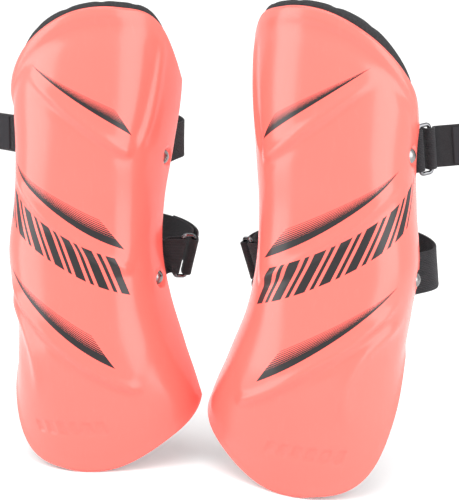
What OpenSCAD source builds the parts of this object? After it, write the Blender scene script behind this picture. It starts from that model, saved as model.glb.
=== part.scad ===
// Pair of moulded shin guards: a curved plastic shell with a foam liner, held by two webbing loops each.
// Frame of a guard: +Z up the shin, -Y to the front, +X towards the other leg, z = 0 at its lowest point.
// The right guard is the left one mirrored. The row's origin is the left guard's own.

/* [Pair] */
// Distance between the two guards' leg axes
guard_spacing = 212; // [205:1:300]

/* [Shell] */
// Wall thickness of the moulded shell
shell_wall = 3; // [2.5:0.5:4]
// How deep the flat under each rivet head is cut into the shell
seat_depth = 1.6; // [1:0.2:2]
// How far the boss behind each rivet stands in from the wall
boss_h = 5.5; // [4:0.5:6]

/* [Liner] */
// Thickness of the foam liner
liner_thick = 9; // [6:1:10]
// Thickness of the fabric lining on the foam
lining_thick = 1.2; // [0.8:0.2:2]

/* [Webbing] */
// Width of the strap webbing
web_w = 35; // [30:1:36]
// Thickness of one layer of webbing
web_t = 1.8; // [1.4:0.2:2]
// Length of the free tail of the upper strap
upper_tail_l = 32; // [24:1:60]
// Thickness of the hook tape sewn on each tail
hook_t = 1.2; // [0.8:0.2:1.4]

/* [Rings] */
// Diameter of the ring wire
wire_d = 3.5; // [3:0.25:4]
// Distance between the centres of a ring's two long bars
ring_pitch = 11; // [10.5:0.5:13]

/* [Rivets] */
// Diameter of a rivet's domed head
head_d = 12.5; // [11:0.5:13]
// Height of a rivet's domed head
head_h = 3.4; // [2.5:0.1:4]
// Diameter of a rivet's shank
shank_d = 4; // [3:0.5:5]
// Diameter of the washer on the inside
washer_d = 12; // [10:1:14]

/* [Hidden] */
$fn = 48;

SHELL_COLOR = "salmon";
FOAM_COLOR = "#202022";
FABRIC_COLOR = "#38383c";
WEB_COLOR = "#2c2a2e";
HOOK_COLOR = "#18181a";
METAL_COLOR = "silver";

// Heights at which the guard's cross-section is given.
SECTION_Z = [0, 50, 100, 140, 180, 225, 270, 320, 385];
// The front crest's y at those heights.
CREST_Y = [-87, -89, -90, -81, -71, -66, -66, -62, -51];
// Half width and back edge's y of the inner side, towards the other leg.
INNER_X = [98, 102, 84, 69, 61, 61, 66, 72, 72];
INNER_Y = [-26, -21, -12, -5, -2, 4, 15, 21, 24];
// Half width and back edge's y of the outer side.
OUTER_X = [90, 74, 66, 70, 75, 71, 69, 72, 69];
OUTER_Y = [-16, -17, -14, -12, -10, -7, -5, -4, 0];
// How square the section is: 2 is an ellipse.
SQUARENESS = [1.6, 1.9, 2.2, 2.4, 2.7, 2.5, 2.4, 2.2, 2];
// Angles round the section, from the outer back edge over the crest to the inner back edge.
RIM_ANGLE = [-90, -60, -30, 0, 30, 60, 90];
// Height of the shell's top rim and bottom rim at those angles.
TOP_Z = [294, 332, 364, 384, 388, 378, 328];
BOTTOM_Z = [103, 58, 10, 0, 1, 28, 54];
// How far the foam stands above the shell's top rim at those angles.
LINER_RISE = [8, 10, 8, 3, 2.5, 2.5, 2.5];
// How far the foam stops short of the shell's bottom rim.
LINER_LIFT = 8;
// How far the fabric lining stops short of the foam's own rims.
LINING_MARGIN = 3;
// The foam's back edges: the angle beside the strap anchors, and the extra angle above them.
LINER_ANGLE = 62;
LINER_FLARE = 8;
FLARE_Z = [290, 335];
// Gaps between glued layers.
GLUE = 0.4;

// Grid sizes of the shell, the foam and the lining: steps round the section and steps up it.
SHELL_GRID = [36, 30];
LINER_GRID = [24, 20];
LINING_GRID = [20, 16];

// Where each rivet meets the shell's outer face: the outer side first, then the inner side.
UPPER_RIVETS = [[-68, -21, 272], [64.3, -1, 262]];
LOWER_RIVETS = [[-75, -17, 170], [64, -20, 158]];

// A ring's middle, the direction of its long bars, and the way from its tab bar to its strap bar.
UPPER_RING = [[-73.8, 9.5, 274], [0.09, -0.12, 0.99], [-0.75, 0.66, 0]];
LOWER_RING = [[73.8, 17.2, 170.8], [0.27, -0.10, 0.957], [0.75, 0.66, 0]];

// Middle line of each strap behind the calf, from its riveted end towards its ring.
UPPER_RUN = [[62, 30, 272], [64, 46, 275], [45, 64, 279], [12, 75, 281], [-26, 71, 280], [-54, 54, 278]];
LOWER_RUN = [[-85, 16, 173], [-78, 42, 177], [-46, 68, 182], [0, 78, 184], [42, 66, 181], [69, 43, 176]];

// Stack under a rivet, measured in from the shell's outer face.
STACK_GAP = 0.2;
WASHER_T = 1;
CLENCH_H = 1.2;
CLENCH_D = 7.6;
BOSS_D = 13;
SEAT_D = head_d + 1.4;
HOLE_GAP = 0.05;
// Play of a webbing hole round a rivet's shank.
PIVOT_GAP = 0.08;
// Play of the webbing fold round the ring's tab bar, and between the two layers of a tab.
EYE_GAP = 0.3;
LAYER_GAP = 0.2;
// How much longer a ring's bars are inside than the webbing is wide.
RING_PLAY = 2;
// Radius of a ring's corners, to the middle of its wire.
RING_CORNER = 3;
// Space between the ring's strap bar and the webbing folded round it, which lets the ring swing.
FOLD_GAP = 1.05;
// Where the fold ends past the bar, and the gap from there to the line that the tail bends about.
FOLD_END = 0.6;
HINGE_GAP = 2.2;
// Webbing past a rivet hole, its straight stretch on a strap and on each tab, and how far its end is narrowed.
END_L = 7;
STRAP_RUN = 15;
UPPER_TAB_RUN = 20;
LOWER_TAB_RUN = 21.5;
END_CHAMFER = 8;
// How far a tab rises from its rivet over its straight stretch.
UPPER_TAB_RISE = 0;
LOWER_TAB_RISE = 7.5;
// How far a strap's riveted stretch rises.
UPPER_END_RISE = 5;
LOWER_END_RISE = 0;
// How far the hook tape stops short of the tail's edges and end, and its gap to the tail.
HOOK_MARGIN = 2;
HOOK_GAP = 0.3;
// Gap from the lower strap to the hook tape that faces it.
TAIL_GAP = 0.6;
// Steps between given points of a strap, along a tab's curve, and of a strap that the lower tail follows.
STEPS = 4;
TAB_STEPS = 12;
// Steps over which a tab's two layers part, and how many steps before the ring's bar they are apart.
OPEN_STEPS = 5;
UPPER_OPEN_LEAD = 1;
LOWER_OPEN_LEAD = 3;
// How strongly a tab's curve follows its two end directions.
TAB_PULL = 0.5;
TAIL_SAMPLES = 8;

eye_r = wire_d / 2 + EYE_GAP;
fold_r = wire_d / 2 + FOLD_GAP + web_t / 2;
boss_end = shell_wall + boss_h;
END_W = web_w - 2 * END_CHAMFER;

// Depth from the shell's outer face to the washer, past one or two layers of webbing.
function stack_end(layers) = boss_end + 2 * STACK_GAP + layers * web_t + 2 * (layers - 1) * LAYER_GAP;

// ---- Vectors and curves

function unit(v) = v / norm(v);
function across(v, n) = unit(v - (v * n) * n);
function step01(s) = let (c = min(1, max(0, s))) c * c * (3 - 2 * c);

function slope(x, v, i) =
  let (a = max(0, i - 1), b = min(len(x) - 1, i + 1))
  (v[b] - v[a]) / (x[b] - x[a]);

function span(x, at, i = 0) = (i >= len(x) - 2 || at < x[i + 1]) ? i : span(x, at, i + 1);

// Smooth value at a place, through the values v given at the places x, and straight beyond them.
function along(x, v, at) =
  let (
    i = span(x, at),
    h = x[i + 1] - x[i],
    s = min(1, max(0, (at - x[i]) / h)),
    past = at - x[i] - s * h,
    m0 = slope(x, v, i) * h,
    m1 = slope(x, v, i + 1) * h
  )
  (2 * s^3 - 3 * s^2 + 1) * v[i] + (s^3 - 2 * s^2 + s) * m0 + (3 * s^2 - 2 * s^3) * v[i + 1]
    + (s^3 - s^2) * m1 + past * (s < 0.5 ? m0 : m1) / h;

// Smooth line through points, with a few steps between each pair.
function smooth_line(points, steps) =
  let (n = len(points), x = [for (i = [0 : n - 1]) i])
  [for (k = [0 : (n - 1) * steps]) along(x, points, k / steps)];

// ---- The guard's curved face

// A point at an angle round the section and a height, set in from the shell's outer face.
function face_point(angle, z, inset) =
  let (
    crest = along(SECTION_Z, CREST_Y, z) + inset,
    half = along(SECTION_Z, angle < 0 ? OUTER_X : INNER_X, z) - inset,
    back = along(SECTION_Z, angle < 0 ? OUTER_Y : INNER_Y, z),
    power = 2 / along(SECTION_Z, SQUARENESS, z),
    side = sign(angle) * pow(abs(sin(angle)), power)
  )
  [half * side, back - (back - crest) * pow(max(0, cos(angle)), power), z];

function top_z(angle) = along(RIM_ANGLE, TOP_Z, angle);
function bottom_z(angle) = along(RIM_ANGLE, BOTTOM_Z, angle);
function liner_top_z(angle) = top_z(angle) + along(RIM_ANGLE, LINER_RISE, angle);
function liner_bottom_z(angle) = bottom_z(angle) + LINER_LIFT;
function liner_angle(z) = LINER_ANGLE + LINER_FLARE * step01((z - FLARE_Z[0]) / (FLARE_Z[1] - FLARE_Z[0]));

// A closed wall between two grids of points with the same size.
module wall(outer, inner, grid) {
  nu = grid[0];
  nv = grid[1];
  row = nu + 1;
  half = row * (nv + 1);
  // Grid corners run along the angle first, so a face a, b, c, d seen from the front is clockwise.
  faces = [
    for (j = [0 : nv - 1], i = [0 : nu - 1], k = [0, 1])
      let (a = j * row + i, b = a + 1, c = a + row, d = c + 1)
      k == 0 ? [a, c, b] : [b, c, d],
    for (j = [0 : nv - 1], i = [0 : nu - 1], k = [0, 1])
      let (a = half + j * row + i, b = a + 1, c = a + row, d = c + 1)
      k == 0 ? [a, b, c] : [b, d, c],
    for (i = [0 : nu - 1], k = [0, 1])
      let (a = i, b = i + 1, c = half + i, d = half + i + 1)
      k == 0 ? [a, b, c] : [b, d, c],
    for (i = [0 : nu - 1], k = [0, 1])
      let (a = nv * row + i, b = a + 1, c = half + a, d = half + b)
      k == 0 ? [a, c, b] : [b, c, d],
    for (j = [0 : nv - 1], k = [0, 1])
      let (a = j * row, b = a + row, c = half + a, d = half + b)
      k == 0 ? [a, c, b] : [b, c, d],
    for (j = [0 : nv - 1], k = [0, 1])
      let (a = j * row + nu, b = a + row, c = half + a, d = half + b)
      k == 0 ? [a, b, c] : [b, d, c]
  ];
  polyhedron(points = concat(outer, inner), faces = faces, convexity = 6);
}

function shell_grid(inset) = [
  for (j = [0 : SHELL_GRID[1]], i = [0 : SHELL_GRID[0]])
    let (
      angle = -90 + 180 * i / SHELL_GRID[0],
      low = bottom_z(angle)
    )
    face_point(angle, low + (top_z(angle) - low) * j / SHELL_GRID[1], inset)
];

function layer_grid(grid, inset, margin) = [
  for (j = [0 : grid[1]], i = [0 : grid[0]])
    let (
      u = -1 + 2 * i / grid[0],
      rough = liner_angle(200) * u,
      low0 = liner_bottom_z(rough) + margin,
      z0 = low0 + (liner_top_z(rough) - margin - low0) * j / grid[1],
      angle = (liner_angle(z0) - margin / 2) * u,
      low = liner_bottom_z(angle) + margin
    )
    face_point(angle, low + (liner_top_z(angle) - margin - low) * j / grid[1], inset)
];

// ---- Axes of a loop

// Direction from the outer rivet to the inner one, and the two directions square to it.
function axis_of(rivets) = unit(rivets[1] - rivets[0]);
function up_of(rivets) = across([0, 0, 1], axis_of(rivets));
function back_of(rivets) = cross(up_of(rivets), axis_of(rivets));

// The way into the guard at a rivet: side 0 is the outer one and side 1 the inner one.
function inward(rivets, side) = (side == 0 ? 1 : -1) * axis_of(rivets);

// A place by a rivet: so deep into the stack, so far back and so far up.
function by_rivet(rivets, side, depth, back, up) =
  rivets[side] + depth * inward(rivets, side) + back * back_of(rivets) + up * up_of(rivets);

// Puts +Z of what follows along a direction, at a place.
module facing(place, dir) {
  translate(place) rotate([0, acos(dir[2] / norm(dir)), atan2(dir[1], dir[0])]) children();
}

// ---- Rings, in their own directions

function bar_dir(ring) = unit(ring[1]);
function ring_dir(ring) = across(ring[2], bar_dir(ring));
function tab_bar(ring) = ring[0] - ring_dir(ring) * ring_pitch / 2;
function strap_bar(ring) = ring[0] + ring_dir(ring) * ring_pitch / 2;

module ring_loop(ring) {
  half_l = (web_w + RING_PLAY + wire_d) / 2;
  dir = bar_dir(ring);
  tilt = acos(dir[2]);
  turn = atan2(dir[1], dir[0]);
  x_axis = [cos(tilt) * cos(turn), cos(tilt) * sin(turn), -sin(tilt)];
  y_axis = [-sin(turn), cos(turn), 0];
  spin = atan2(ring_dir(ring) * y_axis, ring_dir(ring) * x_axis);
  translate(ring[0]) rotate([0, tilt, turn]) rotate([0, 0, spin]) {
    for (s = [-1, 1]) {
      translate([s * ring_pitch / 2, 0, 0])
        cylinder(d = wire_d, h = 2 * (half_l - RING_CORNER), center = true);
      translate([0, 0, s * half_l])
        rotate([0, 90, 0]) cylinder(d = wire_d, h = ring_pitch - 2 * RING_CORNER, center = true);
      for (k = [-1, 1])
        translate([s * (ring_pitch / 2 - RING_CORNER), 0, k * (half_l - RING_CORNER)])
          rotate([90, s * k > 0 ? (s > 0 ? 0 : 180) : (s > 0 ? 90 : 270), 0])
            rotate_extrude(angle = 90) translate([RING_CORNER, 0]) circle(d = wire_d, $fn = 24);
    }
  }
}

// ---- Webbing

// A flat band of webbing: its middle line, and the direction across it and its width at each point.
module band(line, up, widths, thick) {
  n = len(line);
  corners = [
    for (i = [0 : n - 1])
      let (
        run = unit(line[min(n - 1, i + 1)] - line[max(0, i - 1)]),
        w = across(up[i], run),
        out = cross(run, w)
      )
      for (c = [[-1, -1], [1, -1], [1, 1], [-1, 1]])
        line[i] + c[0] * w * widths[i] / 2 + c[1] * out * thick / 2
  ];
  faces = concat(
    [[0, 1, 2], [0, 2, 3], [4 * n - 4, 4 * n - 2, 4 * n - 3], [4 * n - 4, 4 * n - 1, 4 * n - 2]],
    [
      for (i = [0 : n - 2], k = [0 : 3], half = [0, 1])
        let (a = 4 * i + k, b = 4 * i + (k + 1) % 4)
        half == 0 ? [a, b + 4, b] : [a, a + 4, b + 4]
    ]
  );
  polyhedron(points = corners, faces = faces, convexity = 8);
}

// Direction of webbing as it leaves its rivet: so far back and so far up.
function riveted_dir(rivets, run, rise) = unit(run * back_of(rivets) + rise * up_of(rivets));
function riveted_up(rivets, run, rise) = cross(axis_of(rivets), riveted_dir(rivets, run, rise));

// Middle line of webbing from its end past a rivet to the end of its straight stretch.
function riveted_end(rivets, side, depth, run, rise) = [
  for (s = [-END_L, END_CHAMFER - END_L, run / 2, run])
    by_rivet(rivets, side, depth, 0, 0) + s * riveted_dir(rivets, run, rise)
];

// The hole for a rivet's shank through webbing.
module rivet_hole(rivets, side, depth) {
  facing(by_rivet(rivets, side, depth, 0, 0), axis_of(rivets))
    cylinder(d = shank_d + 2 * PIVOT_GAP, h = 12, center = true);
}

// The webbing's direction back from a ring, and the way from the ring's bar towards the leg.
function strap_back(ring, run) = across(run[len(run) - 1] - strap_bar(ring), bar_dir(ring));
function leg_side(ring, run) =
  let (n = cross(bar_dir(ring), strap_back(ring, run)))
  n * sign(n * [-ring[0][0], 0, 0]);

// Middle line of the fold round a ring's strap bar.
function fold_line(ring, run) =
  let (c = strap_bar(ring), n = leg_side(ring, run), b = strap_back(ring, run))
  [
    c + fold_r * n + 5 * b,
    for (a = [0 : 20 : 180]) c + fold_r * (cos(a) * n - sin(a) * b),
    c - fold_r * n + FOLD_END * b
  ];

// Middle line of a strap from its riveted end to the fold, and the direction across it at each point.
function run_line(rivets, side, depth, rise, run, ring) =
  let (
    end = riveted_end(rivets, side, depth, STRAP_RUN, rise),
    knots = concat([end[3]], run, [fold_line(ring, run)[0]])
  )
  concat([end[0], end[1], end[2]], smooth_line(knots, STEPS));

function run_up(rivets, rise, run, ring) =
  let (
    start = riveted_up(rivets, STRAP_RUN, rise),
    total = (len(run) + 1) * STEPS
  )
  concat(
    [start, start, start],
    [for (k = [0 : total]) unit(start + (bar_dir(ring) - start) * step01(k / total))]
  );

module strap(rivets, side, rise, run, ring) {
  depth = boss_end + STACK_GAP + web_t / 2;
  fold = fold_line(ring, run);
  rest = [for (i = [1 : len(fold) - 1]) fold[i]];
  line = concat(run_line(rivets, side, depth, rise, run, ring), rest);
  up = concat(run_up(rivets, rise, run, ring), [for (p = rest) bar_dir(ring)]);
  color(WEB_COLOR) difference() {
    band(line, up, [for (i = [0 : len(line) - 1]) i == 0 ? END_W : web_w], web_t);
    rivet_hole(rivets, side, depth);
  }
}

// Middle line of a tab, from the straight stretch by its rivet to the ring's first bar.
function tab_curve(rivets, end, ring) =
  let (
    stop = tab_bar(ring),
    reach = norm(stop - end[3]) * TAB_PULL,
    lead = across(end[3] - end[0], axis_of(rivets))
  )
  [
    for (k = [0 : TAB_STEPS])
      let (s = k / TAB_STEPS, p1 = end[3] + lead * reach, p2 = stop - ring_dir(ring) * reach)
      (1 - s)^3 * end[3] + 3 * s * (1 - s)^2 * p1 + 3 * s^2 * (1 - s) * p2 + s^3 * stop
  ];

// One layer of a tab: its middle line moved sideways, and further by the ring's bar.
function tab_layer(line, up, way, ring, lead) = [
  for (i = [0 : len(line) - 1])
    let (
      last = len(line) - 1,
      run = i == last ? ring_dir(ring) : unit(line[i + 1] - line[max(0, i - 1)]),
      open = step01((i - last + OPEN_STEPS + lead) / OPEN_STEPS)
    )
    line[i] + way * unit(cross(up[i], run)) * (web_t / 2 + LAYER_GAP + (eye_r - LAYER_GAP) * open)
];

// The tab is webbing folded double round the ring's first bar, with both layers under the rivet.
module tab(rivets, side, straight, rise, ring, lead) {
  depth = boss_end + STACK_GAP + web_t + LAYER_GAP;
  end = riveted_end(rivets, side, depth, straight, rise);
  start_up = riveted_up(rivets, straight, rise);
  middle = concat([end[0], end[1], end[2]], tab_curve(rivets, end, ring));
  up = [for (i = [0 : len(middle) - 1]) unit(start_up + (bar_dir(ring) - start_up) * step01((i - 3) / TAB_STEPS))];
  n = cross(bar_dir(ring), ring_dir(ring));
  eye = [
    for (a = [20 : 20 : 160])
      tab_bar(ring) + (eye_r + web_t / 2) * (cos(a) * n + sin(a) * ring_dir(ring))
  ];
  back = tab_layer(middle, up, -1, ring, lead);
  last = len(middle) - 1;
  line = concat(tab_layer(middle, up, 1, ring, lead), eye, [for (i = [last : -1 : 0]) back[i]]);
  line_up = concat(up, [for (p = eye) bar_dir(ring)], [for (i = [last : -1 : 0]) up[i]]);
  color(WEB_COLOR) difference() {
    band(line, line_up, [for (i = [0 : len(line) - 1]) i % (len(line) - 1) == 0 ? END_W : web_w], web_t);
    rivet_hole(rivets, side, depth);
  }
}

// ---- Tails: the free end of a strap, past its fold

function tail_hinge(ring, run) =
  strap_bar(ring) - fold_r * leg_side(ring, run) + (FOLD_END + HINGE_GAP) * strap_back(ring, run);

// The upper tail stands straight out from the ring.
function upper_tail_line() =
  let (
    start = tail_hinge(UPPER_RING, UPPER_RUN),
    dir = across([-0.98, 0.12, -0.03], bar_dir(UPPER_RING))
  )
  [for (s = [0, 0.5, 1]) start + s * upper_tail_l * dir];

// The lower tail lies back along its own strap, one hook tape away from it.
function lower_tail_line() =
  let (
    line = smooth_line(concat(LOWER_RUN, [fold_line(LOWER_RING, LOWER_RUN)[0]]), STEPS),
    last = len(line) - 1,
    rest = web_t + hook_t + HOOK_GAP + TAIL_GAP,
    start = tail_hinge(LOWER_RING, LOWER_RUN)
  )
  concat([start], [
    for (k = [1 : TAIL_SAMPLES])
      let (
        i = last - k,
        run = unit(line[i + 1] - line[i - 1]),
        out = across(cross(run, bar_dir(LOWER_RING)), run),
        gap = rest + (2 * fold_r - rest) * (1 - step01((k + 1) / 5))
      )
      line[i] + out * gap * sign(out * (line[i] - [0, 20, line[i][2]]))
  ]);

module tail(line, ring) {
  color(WEB_COLOR) band(line, [for (p = line) bar_dir(ring)], [for (p = line) web_w], web_t);
}

// Hook tape on the face of the tail that closes on the strap.
module hook(line, first, ring, way) {
  last = len(line) - 1;
  shift = web_t / 2 + HOOK_GAP + hook_t / 2;
  moved = [
    for (i = [first : last])
      let (
        run = unit(line[min(last, i + 1)] - line[i - 1]),
        out = cross(run, across(bar_dir(ring), run))
      )
      line[i] + way * out * shift - run * (i == last ? HOOK_MARGIN : 0)
  ];
  color(HOOK_COLOR) band(
    moved,
    [for (p = moved) bar_dir(ring)],
    [for (p = moved) web_w - 2 * HOOK_MARGIN],
    hook_t
  );
}

// ---- Rivets and washers

module rivet(rivets, side, layers) {
  cap_r = head_d / 2;
  ball_r = (cap_r^2 + head_h^2) / (2 * head_h);
  web_end = stack_end(layers);
  out = -inward(rivets, side);
  facing(rivets[side] - out * seat_depth, out) {
    intersection() {
      cylinder(r = cap_r, h = head_h + 1);
      translate([0, 0, head_h - ball_r]) sphere(r = ball_r, $fn = 64);
    }
    translate([0, 0, seat_depth - web_end - WASHER_T - CLENCH_H / 2])
      cylinder(d = shank_d, h = web_end + WASHER_T + CLENCH_H / 2 - seat_depth + 0.01);
    translate([0, 0, seat_depth - web_end - WASHER_T - CLENCH_H])
      cylinder(d = CLENCH_D, h = CLENCH_H);
  }
}

module washer(rivets, side, layers) {
  web_end = stack_end(layers);
  out = -inward(rivets, side);
  facing(rivets[side] - out * (web_end + WASHER_T), out) difference() {
    cylinder(d = washer_d, h = WASHER_T);
    translate([0, 0, -1]) cylinder(d = shank_d + 2 * HOLE_GAP, h = WASHER_T + 2);
  }
}

// ---- Sub-parts of one guard

module shell() {
  color(SHELL_COLOR) difference() {
    union() {
      wall(shell_grid(0), shell_grid(shell_wall), SHELL_GRID);
      for (rivets = [UPPER_RIVETS, LOWER_RIVETS], side = [0, 1])
        facing(by_rivet(rivets, side, boss_end, 0, 0), -inward(rivets, side))
          cylinder(d = BOSS_D, h = boss_end - seat_depth);
    }
    for (rivets = [UPPER_RIVETS, LOWER_RIVETS], side = [0, 1]) {
      facing(by_rivet(rivets, side, seat_depth, 0, 0), -inward(rivets, side)) cylinder(d = SEAT_D, h = 8);
      facing(by_rivet(rivets, side, boss_end + 1, 0, 0), -inward(rivets, side))
        cylinder(d = shank_d + 2 * HOLE_GAP, h = boss_end + 2);
    }
  }
}

module liner() {
  near = shell_wall + GLUE;
  color(FOAM_COLOR) wall(
    layer_grid(LINER_GRID, near, 0),
    layer_grid(LINER_GRID, near + liner_thick, 0),
    LINER_GRID
  );
}

module lining() {
  near = shell_wall + 2 * GLUE + liner_thick;
  color(FABRIC_COLOR) wall(
    layer_grid(LINING_GRID, near, LINING_MARGIN),
    layer_grid(LINING_GRID, near + lining_thick, LINING_MARGIN),
    LINING_GRID
  );
}

module rivets() {
  color(METAL_COLOR) {
    rivet(UPPER_RIVETS, 0, 2);
    rivet(UPPER_RIVETS, 1, 1);
    rivet(LOWER_RIVETS, 0, 1);
    rivet(LOWER_RIVETS, 1, 2);
  }
}

module washers() {
  color(METAL_COLOR) {
    washer(UPPER_RIVETS, 0, 2);
    washer(UPPER_RIVETS, 1, 1);
    washer(LOWER_RIVETS, 0, 1);
    washer(LOWER_RIVETS, 1, 2);
  }
}

module upper_strap() { strap(UPPER_RIVETS, 1, UPPER_END_RISE, UPPER_RUN, UPPER_RING); }
module upper_tail() { tail(upper_tail_line(), UPPER_RING); }
module upper_hook() { hook(upper_tail_line(), 1, UPPER_RING, -1); }
module upper_tab() { tab(UPPER_RIVETS, 0, UPPER_TAB_RUN, UPPER_TAB_RISE, UPPER_RING, UPPER_OPEN_LEAD); }
module upper_ring() { color(METAL_COLOR) ring_loop(UPPER_RING); }
module lower_strap() { strap(LOWER_RIVETS, 0, LOWER_END_RISE, LOWER_RUN, LOWER_RING); }
module lower_tail() { tail(lower_tail_line(), LOWER_RING); }
module lower_hook() { hook(lower_tail_line(), 4, LOWER_RING, -1); }
module lower_tab() { tab(LOWER_RIVETS, 1, LOWER_TAB_RUN, LOWER_TAB_RISE, LOWER_RING, LOWER_OPEN_LEAD); }
module lower_ring() { color(METAL_COLOR) ring_loop(LOWER_RING); }

// The right guard's place: the left one mirrored.
module right() { translate([guard_spacing, 0, 0]) mirror([1, 0, 0]) children(); }

shell();  // left_shell
liner();  // left_liner
lining();  // left_lining
rivets();  // left_rivets
washers();  // left_washers
upper_strap();  // left_upper_strap
upper_tail();  // left_upper_tail
upper_hook();  // left_upper_hook
upper_tab();  // left_upper_tab
upper_ring();  // left_upper_ring
lower_strap();  // left_lower_strap
lower_tail();  // left_lower_tail
lower_hook();  // left_lower_hook
lower_tab();  // left_lower_tab
lower_ring();  // left_lower_ring
right() shell();  // right_shell
right() liner();  // right_liner
right() lining();  // right_lining
right() rivets();  // right_rivets
right() washers();  // right_washers
right() upper_strap();  // right_upper_strap
right() upper_tail();  // right_upper_tail
right() upper_hook();  // right_upper_hook
right() upper_tab();  // right_upper_tab
right() upper_ring();  // right_upper_ring
right() lower_strap();  // right_lower_strap
right() lower_tail();  // right_lower_tail
right() lower_hook();  // right_lower_hook
right() lower_tab();  // right_lower_tab
right() lower_ring();  // right_lower_ring
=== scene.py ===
"""Pair of moulded shin guards: shells, pads, webbing and steel parts, with a floor, lights and a camera."""

import math

import bpy
import numpy as np
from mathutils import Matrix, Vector
from mathutils.bvhtree import BVHTree


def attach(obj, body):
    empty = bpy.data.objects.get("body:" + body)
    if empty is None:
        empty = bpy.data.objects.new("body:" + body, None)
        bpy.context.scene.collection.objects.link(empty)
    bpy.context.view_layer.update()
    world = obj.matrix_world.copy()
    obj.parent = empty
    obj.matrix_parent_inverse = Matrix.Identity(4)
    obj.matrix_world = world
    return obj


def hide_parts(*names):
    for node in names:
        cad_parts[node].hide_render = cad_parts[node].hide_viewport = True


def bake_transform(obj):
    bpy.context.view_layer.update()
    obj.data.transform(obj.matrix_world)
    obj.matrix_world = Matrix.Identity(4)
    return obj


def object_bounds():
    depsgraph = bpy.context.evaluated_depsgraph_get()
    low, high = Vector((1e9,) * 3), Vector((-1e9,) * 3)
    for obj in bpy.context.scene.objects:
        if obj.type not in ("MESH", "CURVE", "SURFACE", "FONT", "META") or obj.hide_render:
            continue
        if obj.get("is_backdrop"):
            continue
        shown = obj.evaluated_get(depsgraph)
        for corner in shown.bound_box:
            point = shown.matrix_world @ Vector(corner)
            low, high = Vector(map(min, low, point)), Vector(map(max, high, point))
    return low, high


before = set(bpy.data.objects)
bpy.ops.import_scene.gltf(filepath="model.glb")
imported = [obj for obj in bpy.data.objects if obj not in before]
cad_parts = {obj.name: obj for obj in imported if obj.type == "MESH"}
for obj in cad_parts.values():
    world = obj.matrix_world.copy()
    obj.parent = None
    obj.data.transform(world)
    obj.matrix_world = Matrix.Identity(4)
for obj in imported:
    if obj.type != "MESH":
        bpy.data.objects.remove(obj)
CAD_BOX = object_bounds()

bl_info = {
    "name": "Shin Guard Maker",
    "version": (1, 0, 0),
    "blender": (4, 5, 0),
    "location": "View3D > Sidebar > Shin Guards",
    "description": "Builds the finished pieces of a pair of moulded shin guards on their CAD frame",
    "category": "Object",
}

# ---- Sizes shared with the CAD source, in millimetres

MM = 0.001
GUARD_SPACING = 212
SHELL_WALL = 3
SEAT_DEPTH = 1.6
SEAT_D = 13.9
BOSS_H = 5.5
BOSS_D = 13
BOSS_END = SHELL_WALL + BOSS_H
LINER_THICK = 9
WEB_W = 35
WEB_T = 1.8
UPPER_TAIL_L = 32
HOOK_T = 1.2
WIRE_D = 3.5
RING_PITCH = 11
SECTION_Z = [0, 50, 100, 140, 180, 225, 270, 320, 385]
CREST_Y = [-87, -89, -90, -81, -71, -66, -66, -62, -51]
INNER_X = [98, 102, 84, 69, 61, 61, 66, 72, 72]
INNER_Y = [-26, -21, -12, -5, -2, 4, 15, 21, 24]
OUTER_X = [90, 74, 66, 70, 75, 71, 69, 72, 69]
OUTER_Y = [-16, -17, -14, -12, -10, -7, -5, -4, 0]
SQUARENESS = [1.6, 1.9, 2.2, 2.4, 2.7, 2.5, 2.4, 2.2, 2]
RIM_ANGLE = [-90, -60, -30, 0, 30, 60, 90]
TOP_Z = [294, 332, 364, 384, 388, 378, 328]
BOTTOM_Z = [103, 58, 10, 0, 1, 28, 54]
LINER_RISE = [8, 10, 8, 3, 2.5, 2.5, 2.5]
LINER_LIFT = 8
LINER_ANGLE = 62
LINER_FLARE = 8
FLARE_Z = [290, 335]
GLUE = 0.4
UPPER_RIVETS = np.array([[-68, -21, 272], [64.3, -1, 262]])
LOWER_RIVETS = np.array([[-75, -17, 170], [64, -20, 158]])
UPPER_RING = np.array([[-73.8, 9.5, 274], [0.09, -0.12, 0.99], [-0.75, 0.66, 0]])
LOWER_RING = np.array([[73.8, 17.2, 170.8], [0.27, -0.10, 0.957], [0.75, 0.66, 0]])
UPPER_RUN = [[62, 30, 272], [64, 46, 275], [45, 64, 279], [12, 75, 281], [-26, 71, 280], [-54, 54, 278]]
LOWER_RUN = [[-85, 16, 173], [-78, 42, 177], [-46, 68, 182], [0, 78, 184], [42, 66, 181], [69, 43, 176]]
STACK_GAP = 0.2
EYE_GAP = 0.3
LAYER_GAP = 0.2
FOLD_GAP = 1.05
FOLD_END = 0.6
HINGE_GAP = 2.2
END_L = 7
END_CHAMFER = 8
STRAP_RUN = 15
UPPER_TAB_RUN = 20
LOWER_TAB_RUN = 21.5
TAB_PULL = 0.5
LOWER_TAB_RISE = 7.5
UPPER_END_RISE = 5
TAIL_SAMPLES = 8
HOOK_GAP = 0.3
TAIL_GAP = 0.6
HOOK_MARGIN = 2
OPEN_SHARE = 5 / 12
CAD_STEPS = 4
EYE_R = WIRE_D / 2 + EYE_GAP
FOLD_R = WIRE_D / 2 + FOLD_GAP + WEB_T / 2
END_W = WEB_W - 2 * END_CHAMFER

# ---- Sizes of the finished surface, in millimetres

SHELL_COLUMNS = 170
SHELL_ROWS = 230
RIM_STEPS = 4
# Ridges of the shell as (distance round from the crest, height) points.
RIDGES = [
    [(-44, 336), (-20, 319), (0, 304), (22, 288), (40, 276), (58, 268)],
    [(-72, 254), (-50, 238), (-30, 220), (-10, 206), (15, 191), (38, 178), (60, 169)],
    [(-78, 161), (-55, 146), (-30, 128), (0, 109), (25, 92), (48, 79), (72, 70)],
]
RIDGE_HEIGHT = [1.5, 1.7, 1.9]
VEE = [(60, 268), (72, 292), (80, 322), (84, 352), (80, 372)]
HOLLOW = [(-92, 142), (-72, 133), (-52, 122), (-37, 104), (-30, 82), (-34, 58)]
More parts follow.
